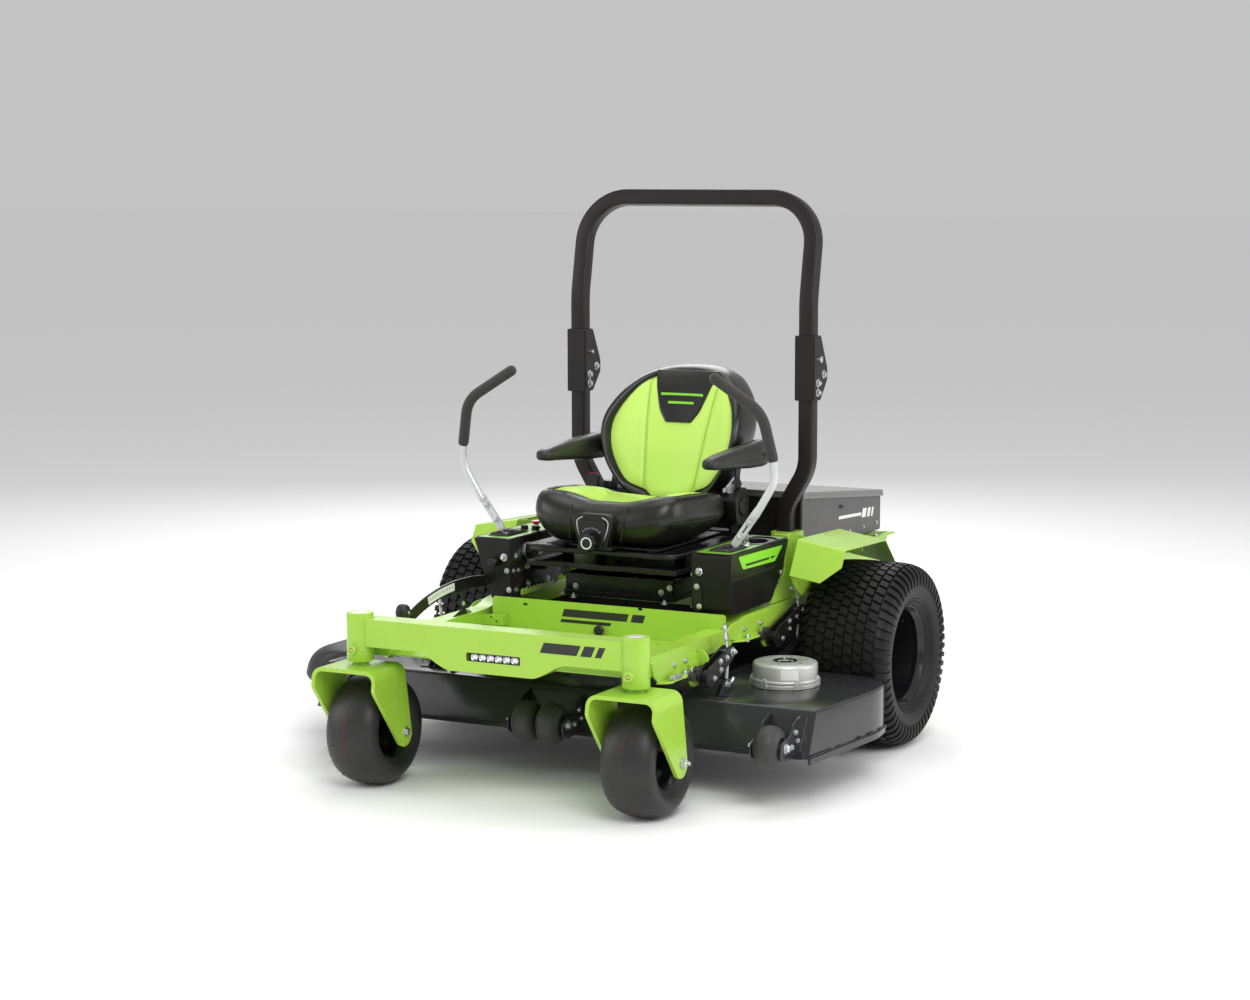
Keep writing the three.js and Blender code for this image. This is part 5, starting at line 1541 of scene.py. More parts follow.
MIDDLE_LINE = [(-640, 774), (-612, 792), (-585, 799), (-552, 800), (-512, 793), (-460, 779), (-400, 765),
               (-330, 754), (-250, 748), (-190, 748), (-140, 750)]
BOLSTER_LINE = [(-640, 788), (-612, 808), (-582, 819), (-540, 824), (-450, 823), (-330, 814), (-230, 799),
                (-180, 786), (-140, 772)]


def along_line(line, y):
    """The height a side view line has at a y, eased between its points."""
    if y <= line[0][0]:
        return line[0][1]
    for (y0, z0), (y1, z1) in zip(line, line[1:]):
        if y <= y1:
            t = (y - y0) / (y1 - y0)
            return z0 + (z1 - z0) * t
    return line[-1][1]


def cushion_outline(count):
    pairs = [(0, -622), (90, -621), (170, -617), (218, -600), (248, -562), (259, -500), (260, -420),
             (258, -330), (250, -240), (232, -190), (198, -162), (140, -152), (60, -149), (0, -148)]
    return outline_points(pairs, count)


def cushion_field(count):
    pairs = [(0, -470), (60, -474), (120, -490), (168, -516), (200, -536), (214, -526), (221, -480),
             (222, -400), (220, -320), (214, -240), (200, -204), (168, -186), (110, -180), (50, -178),
             (0, -178)]
    return outline_points(pairs, count)


def cushion():
    count = 176
    outer = cushion_outline(count)
    field = cushion_field(count)
    centre = Vector((0, -375))

    def top(p):
        w = min(1.0, max(0.0, (abs(p.x) - 45) / 160))
        w = w * w * (3 - 2 * w)
        over = max(0, abs(p.x) - 212)
        return along_line(MIDDLE_LINE, p.y) * (1 - w) + along_line(BOLSTER_LINE, p.y) * w - 0.006 * over ** 2

    def place(points, lift, press=None):
        out = []
        for p in points:
            z = top(p) + lift
            if press:
                z += press(p)
            out.append(Vector((p.x, p.y, z)))
        return out

    lime = []
    for k in range(17):
        t = k / 16
        points = [centre.lerp(s, 0.02 + 0.96 * t) for s in field]
        edge = 1 - t
        puff = 7 * (1 - (1 - min(1, edge * 6)) ** 2) - 4

        def press(p, puff=puff):
            seam = 9 * math.exp(-((abs(p.x) - 118 + 0.04 * (p.y + 375)) / 6.5) ** 2)
            cross = 8 * math.exp(-((p.y + 300 + 0.00045 * p.x * p.x) / 6.5) ** 2)
            dish = 12 * math.exp(-(p.x / 90) ** 2) * math.exp(-((p.y + 300) / 110) ** 2)
            return puff - seam - cross - dish
        lime.append(place(points, 0, press))
    lime.append(place([centre.lerp(s, 0.99) for s in field], -9))
    shape = Shape().loft(lime, cap=True)
    pad = make("cushion_field", shape, "seat", "vinyl_lime", 0, 60, ["seat_cushion"])

    def between(t):
        return [s.lerp(o, t) for s, o in zip(field, outer)]

    rings = [place([centre.lerp(s, 0.7) for s in field], -26)]
    for t, lift in ((-0.05, -9), (0.02, -6), (0.1, -1), (0.3, 2), (0.5, 1), (0.7, -4), (0.86, -12),
                    (0.96, -25), (1.0, -40)):
        rings.append(place(between(t), lift))
    low = rings[-1]
    floor = 672.6
    for t, bulge in ((0.12, 2), (0.3, -1), (0.5, -10), (0.7, -23), (0.88, -39), (1.0, -56)):
        line = []
        for v in low:
            flat = Vector((v.x, (v.y + 385) * 0.8)).normalized()
            z = v.z + (floor + 3 - v.z) * t
            wrinkle = 1.2 * math.sin(v.x * 0.16 + v.y * 0.19 + t * 3) * math.sin(t * 3.1)
            tuck = 95 * t ** 1.3 * max(0, (v.y + 400) / 250) ** 2
            line.append(Vector((v.x + flat.x * (bulge + wrinkle), v.y + flat.y * (bulge + wrinkle) - tuck,
                                z)))
        rings.append(line)
    for k in (0.08, 0.5, 0.97):
        line = []
        for v in rings[-1]:
            line.append(Vector((v.x * (1 - k * 0.5), -375 + (v.y + 375) * (1 - k * 0.5), floor)))
        rings.append(line)
    wrap = make("cushion_wrap", Shape().loft(rings, cap=True), "seat", "vinyl_black", 0, 60)
    cut = Shape().prism("z", round_corners([(-70, -700), (70, -700), (60, -600), (-60, -600)], 10, 4), 640,
                        766)
    carve(wrap, cut)
    wrap.data.set_sharp_from_angle(angle=math.radians(60))
    cords = Shape()
    line = place([centre.lerp(s, 1.005) for s in field], -2)
    cords.tube(line, 2.4, 10, loop=True)
    waist = rings[11]
    cords.tube(waist, 2.0, 8, loop=True)
    for s in (1, -1):
        path = []
        for i in range(15):
            t = i / 14
            z = 690 + 104 * t
            path.append(Vector((s * (88 + 9 * t), -629 + 30 * t ** 2.6, z)))
        cords.tube(path, 1.7, 8)
    piping = make("cushion_piping", cords, "seat", "vinyl_black", 0, 60)
    stitches = Shape()
    line = place([centre.lerp(s, 1.04) for s in field], 2.6)
    for a, b in zip(line, line[1:]):
        if (b - a).length > 3:
            stitches.tube([a.lerp(b, 0.2), a.lerp(b, 0.5) + Vector((0, 0, 0.8)), a.lerp(b, 0.8)], 0.7, 6)
    for i in range(len(waist)):
        a, b = waist[i], waist[(i + 1) % len(waist)]
        if a.y < -520 or abs(a.x) > 200:
            up = Vector((0, 0, 5))
            out = Vector((a.x, a.y + 385, 0)).normalized() * 0.8
            stitches.tube([a.lerp(b, 0.2) + up, a.lerp(b, 0.5) + up + out, a.lerp(b, 0.8) + up], 0.7, 6)
    make("cushion_stitches", stitches, "seat", "vinyl_black")


def armrest(s, name):
    body = "arm_" + name
    stations = [(-28, 264, 310, 874, 956), (-60, 262, 313, 873, 957), (-150, 262, 316, 877, 953),
                (-230, 263, 318, 884, 949), (-300, 262, 320, 890, 945), (-370, 262, 320, 895, 940),
                (-412, 264, 318, 898, 935), (-434, 268, 314, 901, 931), (-446, 277, 306, 906, 925)]
    rings = []
    for y, x0, x1, z0, z1 in stations:
        outline = round_corners([(x0, z0), (x1, z0), (x1, z1), (x0, z1)], 20, 6)
        crown = []
        for x, z in outline:
            u = (x - x0) / (x1 - x0) * 2 - 1
            w = (z - z0) / (z1 - z0)
            crown.append((s * x, y, z + 1.5 * (1 - u * u) * w - 4 * (1 - u * u) * (1 - w) * 0.3))
        rings.append(crown)
    first, last = rings[0], rings[-1]
    mid = Vector([sum(c) / len(first) for c in zip(*first)])
    lid = [[tuple(Vector(p).lerp(mid, k) + Vector((0, off, 0))) for p in first]
           for k, off in ((0.55, 11), (0.22, 8))]
    tip_mid = Vector([sum(c) / len(last) for c in zip(*last)])
    tip = [[tuple(Vector(p).lerp(tip_mid, k) - Vector((0, off, 0))) for p in last]
           for k, off in ((0.3, 2.5), (0.75, 4))]
    pad = make("armrest_pad_" + name, Shape().loft(lid + rings + tip), body, "foam_skin", 0, 70,
               ["armrest_" + name])
    seam = Shape()
    for side in (0, 1):
        path = []
        for y, x0, x1, z0, z1 in stations:
            x = x1 + 0.2 if side else x0 - 0.2
            path.append(Vector((s * x, y, z0 + (z1 - z0) * 0.3)))
        seam.tube(path, 1.3, 8)
    make("armrest_seam_" + name, seam, body, "rubber")
    hub = Shape()
    hub.lathe("x", [(0.01, s * 247), (20, s * 247), (22, s * 249), (22, s * 262), (0.01, s * 262)],
              (0, -55, 915), 36)
    hub.nut((s * 315.5, -66, 912), (s, 0, 0), 12, 2, washer=False)
    make("armrest_hub_" + name, hub, body, "plastic", 0.5)


def seat_frame():
    yoke = Shape()
    yoke.prism("z", round_corners([(-198, -588), (198, -588), (198, -112), (-198, -112)], 14, 5), 661, 666)
    yoke.box(-234, 234, -141, -92, 661, 671)
    for s in (1, -1):
        yoke.prism("x", round_corners([(-142, 661), (-86, 661), (-84, 700), (-92, 760), (-132, 760),
                                       (-142, 700)], 8, 4), s * 233, s * 223)
    yoke.prism("z", round_corners([(-59, -640), (59, -640), (59, -580), (-59, -580)], 6, 4), 661, 671)
    make("pan_skin", yoke, "seat", "black_paint", 1.2, 35, ["seat_pan"])
    front = Shape()
    fan = [(-44, 662), (44, 662), (56, 700), (68, 740), (66, 762), (44, 772), (-44, 772), (-66, 762),
           (-68, 740), (-56, 700)]
    front.prism("y", round_corners(fan, 10, 5), -648, -612)
    front.prism("y", round_corners([(x * 0.72, 664 + (z - 662) * 0.8) for x, z in fan], 8, 4), -655, -646)
    make("adjuster_housing", front, "seat", "plastic", 4.0, 35, segments=3)
    arcs = Shape()
    for s in (1, -1):
        path = rounded([(s * 38, -648.4, 690), (s * 52, -648.4, 726), (s * 55, -648.4, 752),
                        (s * 34, -648.4, 763)], 10, 5)
        arcs.sweep(path, [(-0.8, -1.4), (-0.8, 1.4), (0.8, 1.4), (0.8, -1.4)], (0, 1, 0))
    for t in range(48, 134, 12):
        c, d = math.cos(math.radians(t)), math.sin(math.radians(t))
        arcs.bar((40 * c, -655.2, 687 + 40 * d), (45 * c, -655.2, 687 + 45 * d), 1.0, 8)
    make("adjuster_marks", arcs, "seat", "silver")
    knob = []
    for i in range(120):
        t = 2 * math.pi * i / 120
        r = 27 + 2.6 * math.cos(8 * t)
        knob.append((r * math.sin(t), 687 + r * math.cos(t)))
    grip = Shape()
    rings = []
    for y, k in ((-656, 0.92), (-659, 1.0), (-682, 1.0), (-688, 0.95), (-690, 0.84)):
        rings.append([(x * k, y, 687 + (z - 687) * k) for x, z in knob])
    rings.append([(x * 0.5, -689, 687 + (z - 687) * 0.5) for x, z in knob])
    grip.loft(rings)
    make("knob_grip", grip, "knob", "plastic", 0, 50, ["weight_knob"])
    ring = Shape().lathe("y", [(15, -690.4), (17, -690.9), (18.5, -690.4), (18.5, -689), (15, -689)],
                         (0, 0, 687), 40)
    make("knob_ring", ring, "knob", "white")
    plate = Shape()
    edge = [(270, -150), (262, -132), (-262, -132), (-270, -150), (-270, -560), (-262, -592), (-236, -612),
            (-190, -617), (-120, -610), (0, -606), (120, -610), (190, -617), (236, -612), (262, -592),
            (270, -560)]
    plate.prism("z", round_corners(edge, 14, 4), 639, 656.5)
    make("suspension_skin", plate, "suspension", "gloss_black", 6, 35, ["seat_suspension_plate"], segments=4)
    rails = Shape()
    for s in (1, -1):
        rails.box(s * 150, s * 176, -580, -134, 655.5, 660.6)
    make("slide_rails", rails, "suspension", "black_paint", 0.8)
    lever = Shape()
    lever.tube(rounded([(-120, -582, 664.5), (-120, -640, 664.5), (-135, -652, 664.5), (-215, -652, 664.5),
                        (-228, -640, 664.5)], 12, 5), 4.5, 12)
    make("slide_bar", lever, "seat", "black_paint")
    base = Shape()
    lower = [(-260, -597)]
    for i in range(41):
        x = -250 + 500 * i / 40
        lower.append((x, -597 + 11 * abs(math.sin(i / 40 * math.pi * 2)) ** 2))
    lower += [(260, -597), (260, -168), (-260, -168)]
    base.prism("z", lower, 590, 607)
    base.prism("z", round_corners([(-188, -478), (188, -478), (188, -152), (-188, -152)], 8, 4), 487, 556)
    base.prism("z", round_corners([(-196, -487), (196, -487), (196, -146), (-196, -146)], 10, 4), 546, 556)
    base.prism("z", round_corners([(-192, -483), (192, -483), (192, -148), (-192, -148)], 10, 4), 487, 503)
    base.prism("z", round_corners([(-150, -430), (150, -430), (150, -200), (-150, -200)], 10, 4), 556, 560)
    make("seat_base_skin", base, "chassis", "gloss_black", 2.2, 35, ["seat_base"])
    springs = Shape()
    for x, y in ((-196, -440), (196, -440), (-196, -220), (196, -220)):
        coil = [(x + 17 * math.cos(i * 0.45), y + 17 * math.sin(i * 0.45), 609 + 28 * i / 89)
                for i in range(90)]
        springs.tube(coil, 2.2, 8)
    coils = make("seat_springs", springs, None, "black_paint")
    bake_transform(coils)
    mounts = Shape()
    for x, y in ((-120, -400), (120, -400), (-120, -230), (120, -230)):
        mounts.lathe("z", [(0.01, 560), (24, 560), (26, 563), (22, 578), (26, 586), (24, 590), (0.01, 590)],
                     (x, y, 0), 28)
    make("seat_mounts", mounts, "chassis", "rubber")
    bolts = Shape()
    bolts.nut((179, -478, 531), (0, -1, 0), 12, 6)
    bolts.nut((150, -478, 515), (0, -1, 0), 12, 6)
    bolts.nut((-150, -478, 515), (0, -1, 0), 12, 6)
    make("seat_base_bolts", bolts, "chassis", "zinc", 0.4)


def seat_belt():
    """A lap belt: a stalk and buckle on one side, a reel box and latch tongue on the other."""
    stalk = Shape()
    stalk.tube(rounded([(-236, -118, 690), (-246, -140, 710), (-250, -160, 750), (-250, -168, 776)], 18, 5),
               7, 14)
    make("belt_stalk", stalk, "seat", "plastic")
    buckle = Shape()
    buckle.turn = Matrix.Translation((-250, -174, 802)) @ Matrix.Rotation(math.radians(-16), 4, "X")
    buckle.prism("y", round_corners([(-20, -30), (20, -30), (20, 26), (14, 32), (-14, 32), (-20, 26)], 5, 4),
                 -9, 9)
    make("belt_buckle", buckle, "seat", "plastic", 1.6)
    press = Shape()
    press.turn = buckle.turn
    press.prism("y", round_corners([(-12, 20), (12, 20), (12, 34), (-12, 34)], 3, 3), -7, 7)
    make("belt_button", press, "seat", "red", 0.8)
    reel = Shape()
    reel.prism("x", round_corners([(-178, 702), (-118, 688), (-84, 712), (-84, 780), (-112, 812), (-160, 808),
                                   (-188, 770)], 14, 5), 236, 268)
    reel.prism("x", round_corners([(-150, 690), (-84, 700), (-84, 785), (-118, 798), (-150, 770)], 8, 4), 190,
               240)
    reel.lathe("x", [(0.01, 268), (26, 268), (28, 270), (24, 274), (0.01, 274)], (0, -134, 748), 36)
    make("belt_reel", reel, "seat", "plastic", 2.0)
    tongue = Shape()
    tongue.prism("x", round_corners([(-214, 800), (-170, 798), (-166, 824), (-210, 830)], 5, 4), 250, 253)
    tongue.prism("x", round_corners([(-246, 806), (-214, 806), (-212, 822), (-244, 820)], 3, 3), 250.4, 252.6)
    tongue.tube([(251, -166, 800), (251, -176, 812)], 3, 10)
    make("belt_tongue", tongue, "seat", "zinc", 0.5)
    web = Shape()
    path = rounded([(251, -120, 806), (251, -140, 830), (251, -176, 812)], 10, 5)
    web.sweep(path, [(-1, -20), (-1, 20), (1, 20), (1, -20)], (1, 0, 0))
    make("belt_web", web, "seat", "webbing", 0.3)

# Control pods --------------------------------------------------------------------------------


def pod(s, name):
    inner, outer = 315, 447
    profile = [(-605, 667), (-175, 667), (-240, 560), (-309, 486), (-605, 486)]
    if s > 0:
        shell = Shape().prism("x", round_corners(profile, 16, 6), s * inner, s * outer)
    else:
        rings = []
        for y in (-605, -604, -420, -300, -260, -180):
            low = 478 if y < -309 else 478 + (667 - 478) * min(1, max(0, (y + 309) / 129)) * 0.999
            low = min(low, 664)
            x_low = outer - 65 * (1 - (low - 478) / 189)
            rings.append([(s * inner, y, low), (s * inner, y, 667), (s * 445, y, 667), (s * x_low, y, low)])
        shell = Shape().loft(rings)
    replaced = ["control_pod_" + name]
    piece = make("pod_skin_" + name, shell, "chassis", "pod_black", 5, 28, replaced, segments=3)
    pocket = Shape().box(s * 350, s * 424, -560, -430, 600, 690)
    cutters = [pocket]
    if s > 0:
        cutters.append(Shape().bar((s * 383, -290, 588), (s * 383, -290, 700), 38, 40))
    carve(piece, *cutters)
    top = Shape()
    if s > 0:
        outline = [(322, -596), (440, -596), (441, -186), (322, -186)]
    else:
        outline = [(-322, -596), (-438, -596), (-438, -190), (-322, -190)]
    top.prism("z", round_corners(outline, 14, 5), 667.2, 669.2)
    sheet = make("pod_top_sheet_" + name, top, "chassis", "pod_green", 0.6, 35)
    cuts = [Shape().prism("z", round_corners([(s * 346, -564), (s * 427, -564), (s * 427, -426),
                                              (s * 346, -426)], 10, 4), 660, 675)]
    if s > 0:
        tray = [(394, -373), (350, -330), (344, -210), (397, -203), (440, -232), (442, -330), (429, -376)]
        cuts.append(Shape().prism("z", round_corners(tray, 12, 5), 660, 675))
    carve(sheet, *cuts)
    boot = Shape()
    rings = []
    for z, k in ((668, 1.0), (674, 0.97), (676, 0.9), (671, 0.84), (673, 0.74), (677, 0.7), (675, 0.6),
                 (668, 0.56)):
        corners = [(-35 * k, -66 * k), (35 * k, -66 * k), (35 * k, 66 * k), (-35 * k, 66 * k)]
        line = round_corners(corners, 14, 4)
        rings.append([(s * (384 + x), -495 + y, z) for x, y in line])
    inner_rings = [[(x, y, z - 3) for x, y, z in ring] for ring in rings[::-1]]
    boot.loft(rings + inner_rings, loop=True)
    make("lever_boot_" + name, boot, "chassis", "rubber", 0, 50)
    edge = Shape()
    line = round_corners([(s * 320, -598), (s * 442, -598), (s * 442, -184), (s * 320, -184)], 16, 6)
    edge.sweep([Vector((x, y, 667.6)) for x, y in line], [(-1.8, -1.8), (-1.8, 1.8), (1.8, 1.8), (1.8, -1.8)],
               (0, 0, 1), loop=True)
    make("pod_edge_" + name, edge, "chassis", "pod_black", 0.6)


def left_pod_fittings():
    tray = Shape()
    outline = round_corners([(394, -373), (350, -330), (344, -210), (397, -203), (440, -232), (442, -330),
                             (429, -376)], 14, 5)
    loop = [Vector((x, y, 668.6)) for x, y in outline]
    tray.sweep(loop, [(-1.5, -3.2), (-1.5, 3.2), (2.2, 3.2), (2.2, -3.2)], (0, 0, 1), loop=True)
    make("tray_rim", tray, "chassis", "plastic", 0.8)
    cup = Shape().lathe("z", [(0.01, 590), (36, 590), (37.4, 594), (37.4, 668), (40.5, 670), (40.5, 667),
                              (38.2, 664), (38.2, 588.6), (0.01, 588.6)], (383, -290, 0), 48)
    make("cup_liner", cup, "chassis", "plastic")
    badge = Shape()
    corners = [(-557, 657), (-226, 651), (-287, 608), (-524, 614)]
    badge.prism("x", round_corners(corners, 10, 5), 447.2, 449)
    make("pod_badge", badge, "chassis", "badge", 0.6, 35)
    bars = Shape()
    bars.prism("x", [(-506, 629), (-330, 627), (-334, 621), (-502, 622)], 449, 449.8)
    bars.prism("x", [(-316, 627), (-288, 626.5), (-300, 621), (-320, 621)], 449, 449.8)
    make("pod_badge_bars", bars, "chassis", "ink", 0)
    key = Shape()
    key.lathe("z", [(0.01, 669), (15, 669), (16, 671), (14, 674), (10, 676), (10, 681), (0.01, 681)],
              (408, -412, 0), 32)
    key.prism("y", round_corners([(401, 680), (415, 680), (418, 704), (408, 712), (398, 704)], 4, 4), -414,
              -411)
    make("key_switch", key, "chassis", "zinc", 0.4)
    front = Shape()
    front.lathe("y", [(0.01, -617), (6, -617), (7.5, -615), (9, -609), (12, -607), (12, -604), (0.01, -604)],
                (340, 0, 612), 32)
    make("front_plug", front, "chassis", "zinc")
    strip = Shape()
    strip.prism("y", round_corners([(322, 573), (349, 575), (352, 500), (338, 487), (326, 487)], 5, 3), -609,
                -605)
    make("pod_front_strip", strip, "chassis", "black_paint", 0.8)
    bolts = Shape()
    bolts.nut((334, -609, 567), (0, -1, 0), 11, 5)
    bolts.nut((343, -609, 507), (0, -1, 0), 11, 5)
    bolts.nut((447, -236, 566), (1, 0, 0), 11, 4)
    for y, z in ((-590, 500), (-330, 500), (-590, 600), (-250, 640)):
        bolts.nut((314, y, z), (-1, 0, 0), 11, 5)
    make("pod_bolts_left", bolts, "chassis", "zinc", 0.3)
    gap = Shape()
    gap.prism("x", [(-604, 592), (-218, 592), (-221, 588), (-604, 588)], 445.6, 447.35)
    make("pod_seam_left", gap, "chassis", "ink", 0)


def right_pod_fittings():
    zinc, black, brass = Shape(), Shape(), Shape()
    for y, z, r in ((-566, 611, 9), (-416, 607, 8), (-586, 566, 6), (-556, 564, 6), (-572, 503, 7)):
        zinc.nut((-315, y, z), (1, 0, 0), r * 1.6, 6)
    brass.nut((-315, -500, 569), (1, 0, 0), 13, 8)
    black.lathe("x", [(0.01, -288), (15, -288), (17, -290), (18, -300), (24, -303), (24, -315), (0.01, -315)],
                (0, -504, 621), 36)
    zinc.lathe("x", [(24.5, -303), (27, -305), (27, -314), (24.5, -314)], (0, -504, 621), 40)
    black.lathe("x", [(0.01, -290), (9, -290), (13, -296), (15, -315), (0.01, -315)], (0, -411, 562), 28)
    black.lathe("y", [(0.01, -632), (12, -632), (15, -629), (15, -612), (9, -608), (9, -604), (0.01, -604)],
                (-367, 0, 595), 32)
    zinc.bar((-336, -604, 610), (-336, -622, 610), 6)
    zinc.nut((-336, -606, 610), (0, -1, 0), 15, 5)
    zinc.nut((-327, -605, 568), (0, -1, 0), 11, 5)
    zinc.nut((-319, -605, 508), (0, -1, 0), 11, 5)
    for x, y in ((-371, -412), (-335, -405)):
        black.lathe("z", [(0.01, 669), (10, 669), (12, 671), (12, 684), (9, 687), (0.01, 687.5)], (x, y, 0),
                    24)
        zinc.lathe("z", [(12.5, 669), (14.5, 669), (14.5, 671.5), (12.5, 671.5)], (x, y, 0), 28)
    make("pod_knobs_right", black, "chassis", "plastic", 0.5)
    make("pod_bolts_right", zinc, "chassis", "zinc", 0.3)
    make("pod_brass_right", brass, "chassis", "yellow_zinc", 0.3)
    screen = Shape().prism("z", round_corners([(-336, -384), (-420, -384), (-420, -376), (-336, -376)], 3, 3),
                           669, 670)
    make("pod_gauge", screen, "chassis", "gloss_black", 0.3)
    knob = Shape()
    knob.lathe("z", [(0.01, 671), (7, 671), (7, 682), (12, 684), (16.4, 687), (17, 690), (16, 693),
                     (9, 694.5), (0.01, 694.8)], (-365, -346, 0), 40)
    make("pto_skin", knob, "pto", "red", 0, 50, ["pto_knob"])
    collar = Shape().lathe("z", [(9, 669), (14, 669), (14, 672), (12, 674), (9, 674)], (-365, -346, 0), 36)
    make("pto_collar", collar, "chassis", "gloss_black", 0.3)


# Levers --------------------------------------------------------------------------------------


def lever(s, name):
    base = Shape()
    base.box(s * 399 - 12, s * 399 + 12, -507, -481, 629, 671)
    base.bar((s * 380, -494, 645), (s * 418, -494, 645), 8)
    make("lever_block_" + name, base, "lever_" + name, "black_metal", 1.5, 35, ["lever_base_" + name])
    tongue = Shape()
    tongue.box(s * 407 - 4, s * 407 + 4, -497, -491, 652, 686)
    foot = Shape()
    a, b = Vector((s * 407, -494, 684)), Vector((s * 499, -498, 812))
    along = (b - a).normalized()
    face = Vector((0, 1, 0))
    side = along.cross(face).normalized()
    outline = []
    for u, w in ((-6, 9), (4, 13), (118, 13), (140, 12), (150, 7), (150, -7), (140, -12), (118, -13),
                 (4, -13), (-6, -9)):
        outline.append(a + along * u + side * w)
    foot.loft([[p - face * 3.6 for p in outline], [p + face * 3.6 for p in outline]])
    body = "lap_" + name
    make("lap_tongue_" + name, tongue, body, "silver", 0.6, 35)
    step = [a + along * u + side * w for u, w in ((110, 11), (146, 9), (152, 0), (146, -9), (110, -11),
                                                  (104, 0))]
    lap = Shape()
    lap.loft([[p + face * 3.6 for p in step], [p + face * 9 for p in step]])
    lap.loft([[p - face * 9 for p in step], [p - face * 3.6 for p in step]])
    make("lap_clamp_" + name, lap, body, "silver", 0.8, 35)
    plate = make("lap_foot_" + name, foot, body, "silver", 1.0, 35)
    slot_line = [a + along * u + side * w for u, w in ((46, 2.6), (76, 2.6), (78, 0), (76, -2.6), (46, -2.6),
                                                       (44, 0))]
    carve(plate, Shape().loft([[p - face * 16 for p in slot_line], [p + face * 16 for p in slot_line]]))
    rod = Shape()
    path = rounded([(s * 476, -498, 776), (s * 499, -499, 812), (s * 544, -501, 887), (s * 539.4, -506, 946)],
                   34, 8)
    rod.tube(resample(path, 6), 12.2, 24)
    make("lap_rod_" + name, rod, body, "silver", 0, 50, ["lap_bar_" + name])
    grip = Shape()
    path = rounded([(s * 539, -507, 946), (s * 510, -526, 1092), (s * 340, -523, 1197)], 48, 12)
    path = resample(path, 5)
    radii = [17.0] * len(path)
    for i, r in enumerate((14, 16.2, 16.9)):
        radii[i] = r
    for i, r in enumerate((9, 14.4, 16.4)):
        radii[-1 - i] = r
    grip.tube(path, radii, 32)
    piece = make("lap_grip_skin_" + name, grip, body, "foam", 0, 60, ["lap_grip_" + name])
    bolts = Shape()
    for u in (32, 90):
        at = a + along * u
        bolts.nut(at - face * 3.6, -face, 15, 8, stud=4)
        bolts.nut(at + face * 3.6, face, 13, 7)
    make("lap_bolts_" + name, bolts, body, "zinc", 0.3)


# Roll bar ------------------------------------------------------------------------------------


HOOP_LEAN = math.radians(11)


def roll_bar():
    y, low_x, high_x = 50, 338, 412
    section = square_section(50, 8, 4)
    for s, name in SIDES:
        path = rounded([(s * low_x, y, 491), (s * low_x, y, 735), (s * high_x, y, 860),
                        (s * high_x, y, 1162)], 40, 8)
        make("post_skin_" + name, Shape().sweep(path, section, (0, 1, 0)), "chassis", "rops_black", 0, 30,
             ["rops_post_" + name])
        cap = Shape()
        cheek = [(18, 1080), (75, 1080), (129, 1142), (129, 1180), (75, 1288), (18, 1288)]
        for k in (1, -1):
            cap.prism("x", round_corners(cheek, 10, 4), s * high_x + k * 26, s * high_x + k * 33)
        cap.prism("y", round_corners([(s * high_x - 33, 1080), (s * high_x + 33, 1080),
                                      (s * high_x + 33, 1288), (s * high_x - 33, 1288)], 6, 3), 17.8, 24)
        cap.bar((s * high_x - 33, 98, 1161), (s * high_x + 33, 98, 1161), 9)
        make("hinge_channel_" + name, cap, "chassis", "rops_black", 1.5, 35)
        bolts = Shape()
        for z in (1106, 1136):
            for k in (1, -1):
                bolts.nut((s * high_x + k * 33, 50, z), (k, 0, 0), 17, 8, stud=4 if k * s > 0 else 0)
        for k in (1, -1):
            bolts.nut((s * high_x + k * 33, 98, 1161), (k, 0, 0), 17, 7)
        bolts.bar((s * high_x - 44, 50, 1212), (s * high_x + 48, 50, 1212), 6.5)
        bolts.tube([(s * (high_x + 44), 50, 1212), (s * (high_x + 47), 50, 1212)], 11, 20)
        pin = rounded([(s * (high_x + 40), 36, 1212), (s * (high_x + 40), 74, 1212),
                       (s * (high_x + 40), 92, 1200), (s * (high_x + 40), 74, 1190),
                       (s * (high_x + 40), 40, 1202)], 10, 5)
        bolts.tube(pin, 1.6, 10)
        make("hinge_bolts_" + name, bolts, "chassis", "zinc", 0.3)
        braces = Shape()
        for z in (560, 600):
            braces.nut((s * 312.5, 50, z), (-s, 0, 0), 16, 7)
        make("post_bolts_" + name, braces, "chassis", "zinc", 0.3)
    top_z = 1746 - 25
    hoop = []
    for s in (1, -1):
        top = (s * high_x, 50 + math.tan(HOOP_LEAN) * (top_z - 1400), top_z)
        hoop.append([(s * high_x, 50, 1164), (s * high_x, 50, 1400), top])
    corner = [Vector(p) for p in hoop[0]] + [Vector(p) for p in hoop[1][::-1]]
    up = rounded([corner[0], corner[1], corner[2]], 30, 5)
    down = rounded([corner[3], corner[4], corner[5]], 30, 5)
    turn = []
    reach = 150
    a, b = corner[2], corner[3]
    dn = (corner[1] - corner[2]).normalized()
    across = (b - a).normalized()
    for k in range(17):
        t = math.radians(90 * k / 16)
        turn.append(a + across * reach * (1 - math.cos(t)) + dn * reach * (1 - math.sin(t)))
    dn2 = (corner[4] - corner[3]).normalized()
    back = []
    for k in range(17):
        t = math.radians(90 * k / 16)
        back.append(b - across * reach * (1 - math.sin(t)) + dn2 * reach * (1 - math.cos(t)))
    path = up[:-1] + turn + back + down[1:]
    make("hoop_skin", hoop_tube(path, section), "roll_hoop", "rops_black", 0, 30, ["rops_hoop"])
    stops = Shape()
    for s in (1, -1):
        stops.box(s * high_x - 25, s * high_x + 25, 74, 112, 1150, 1172)
    make("hoop_lugs", stops, "roll_hoop", "rops_black", 1.5)


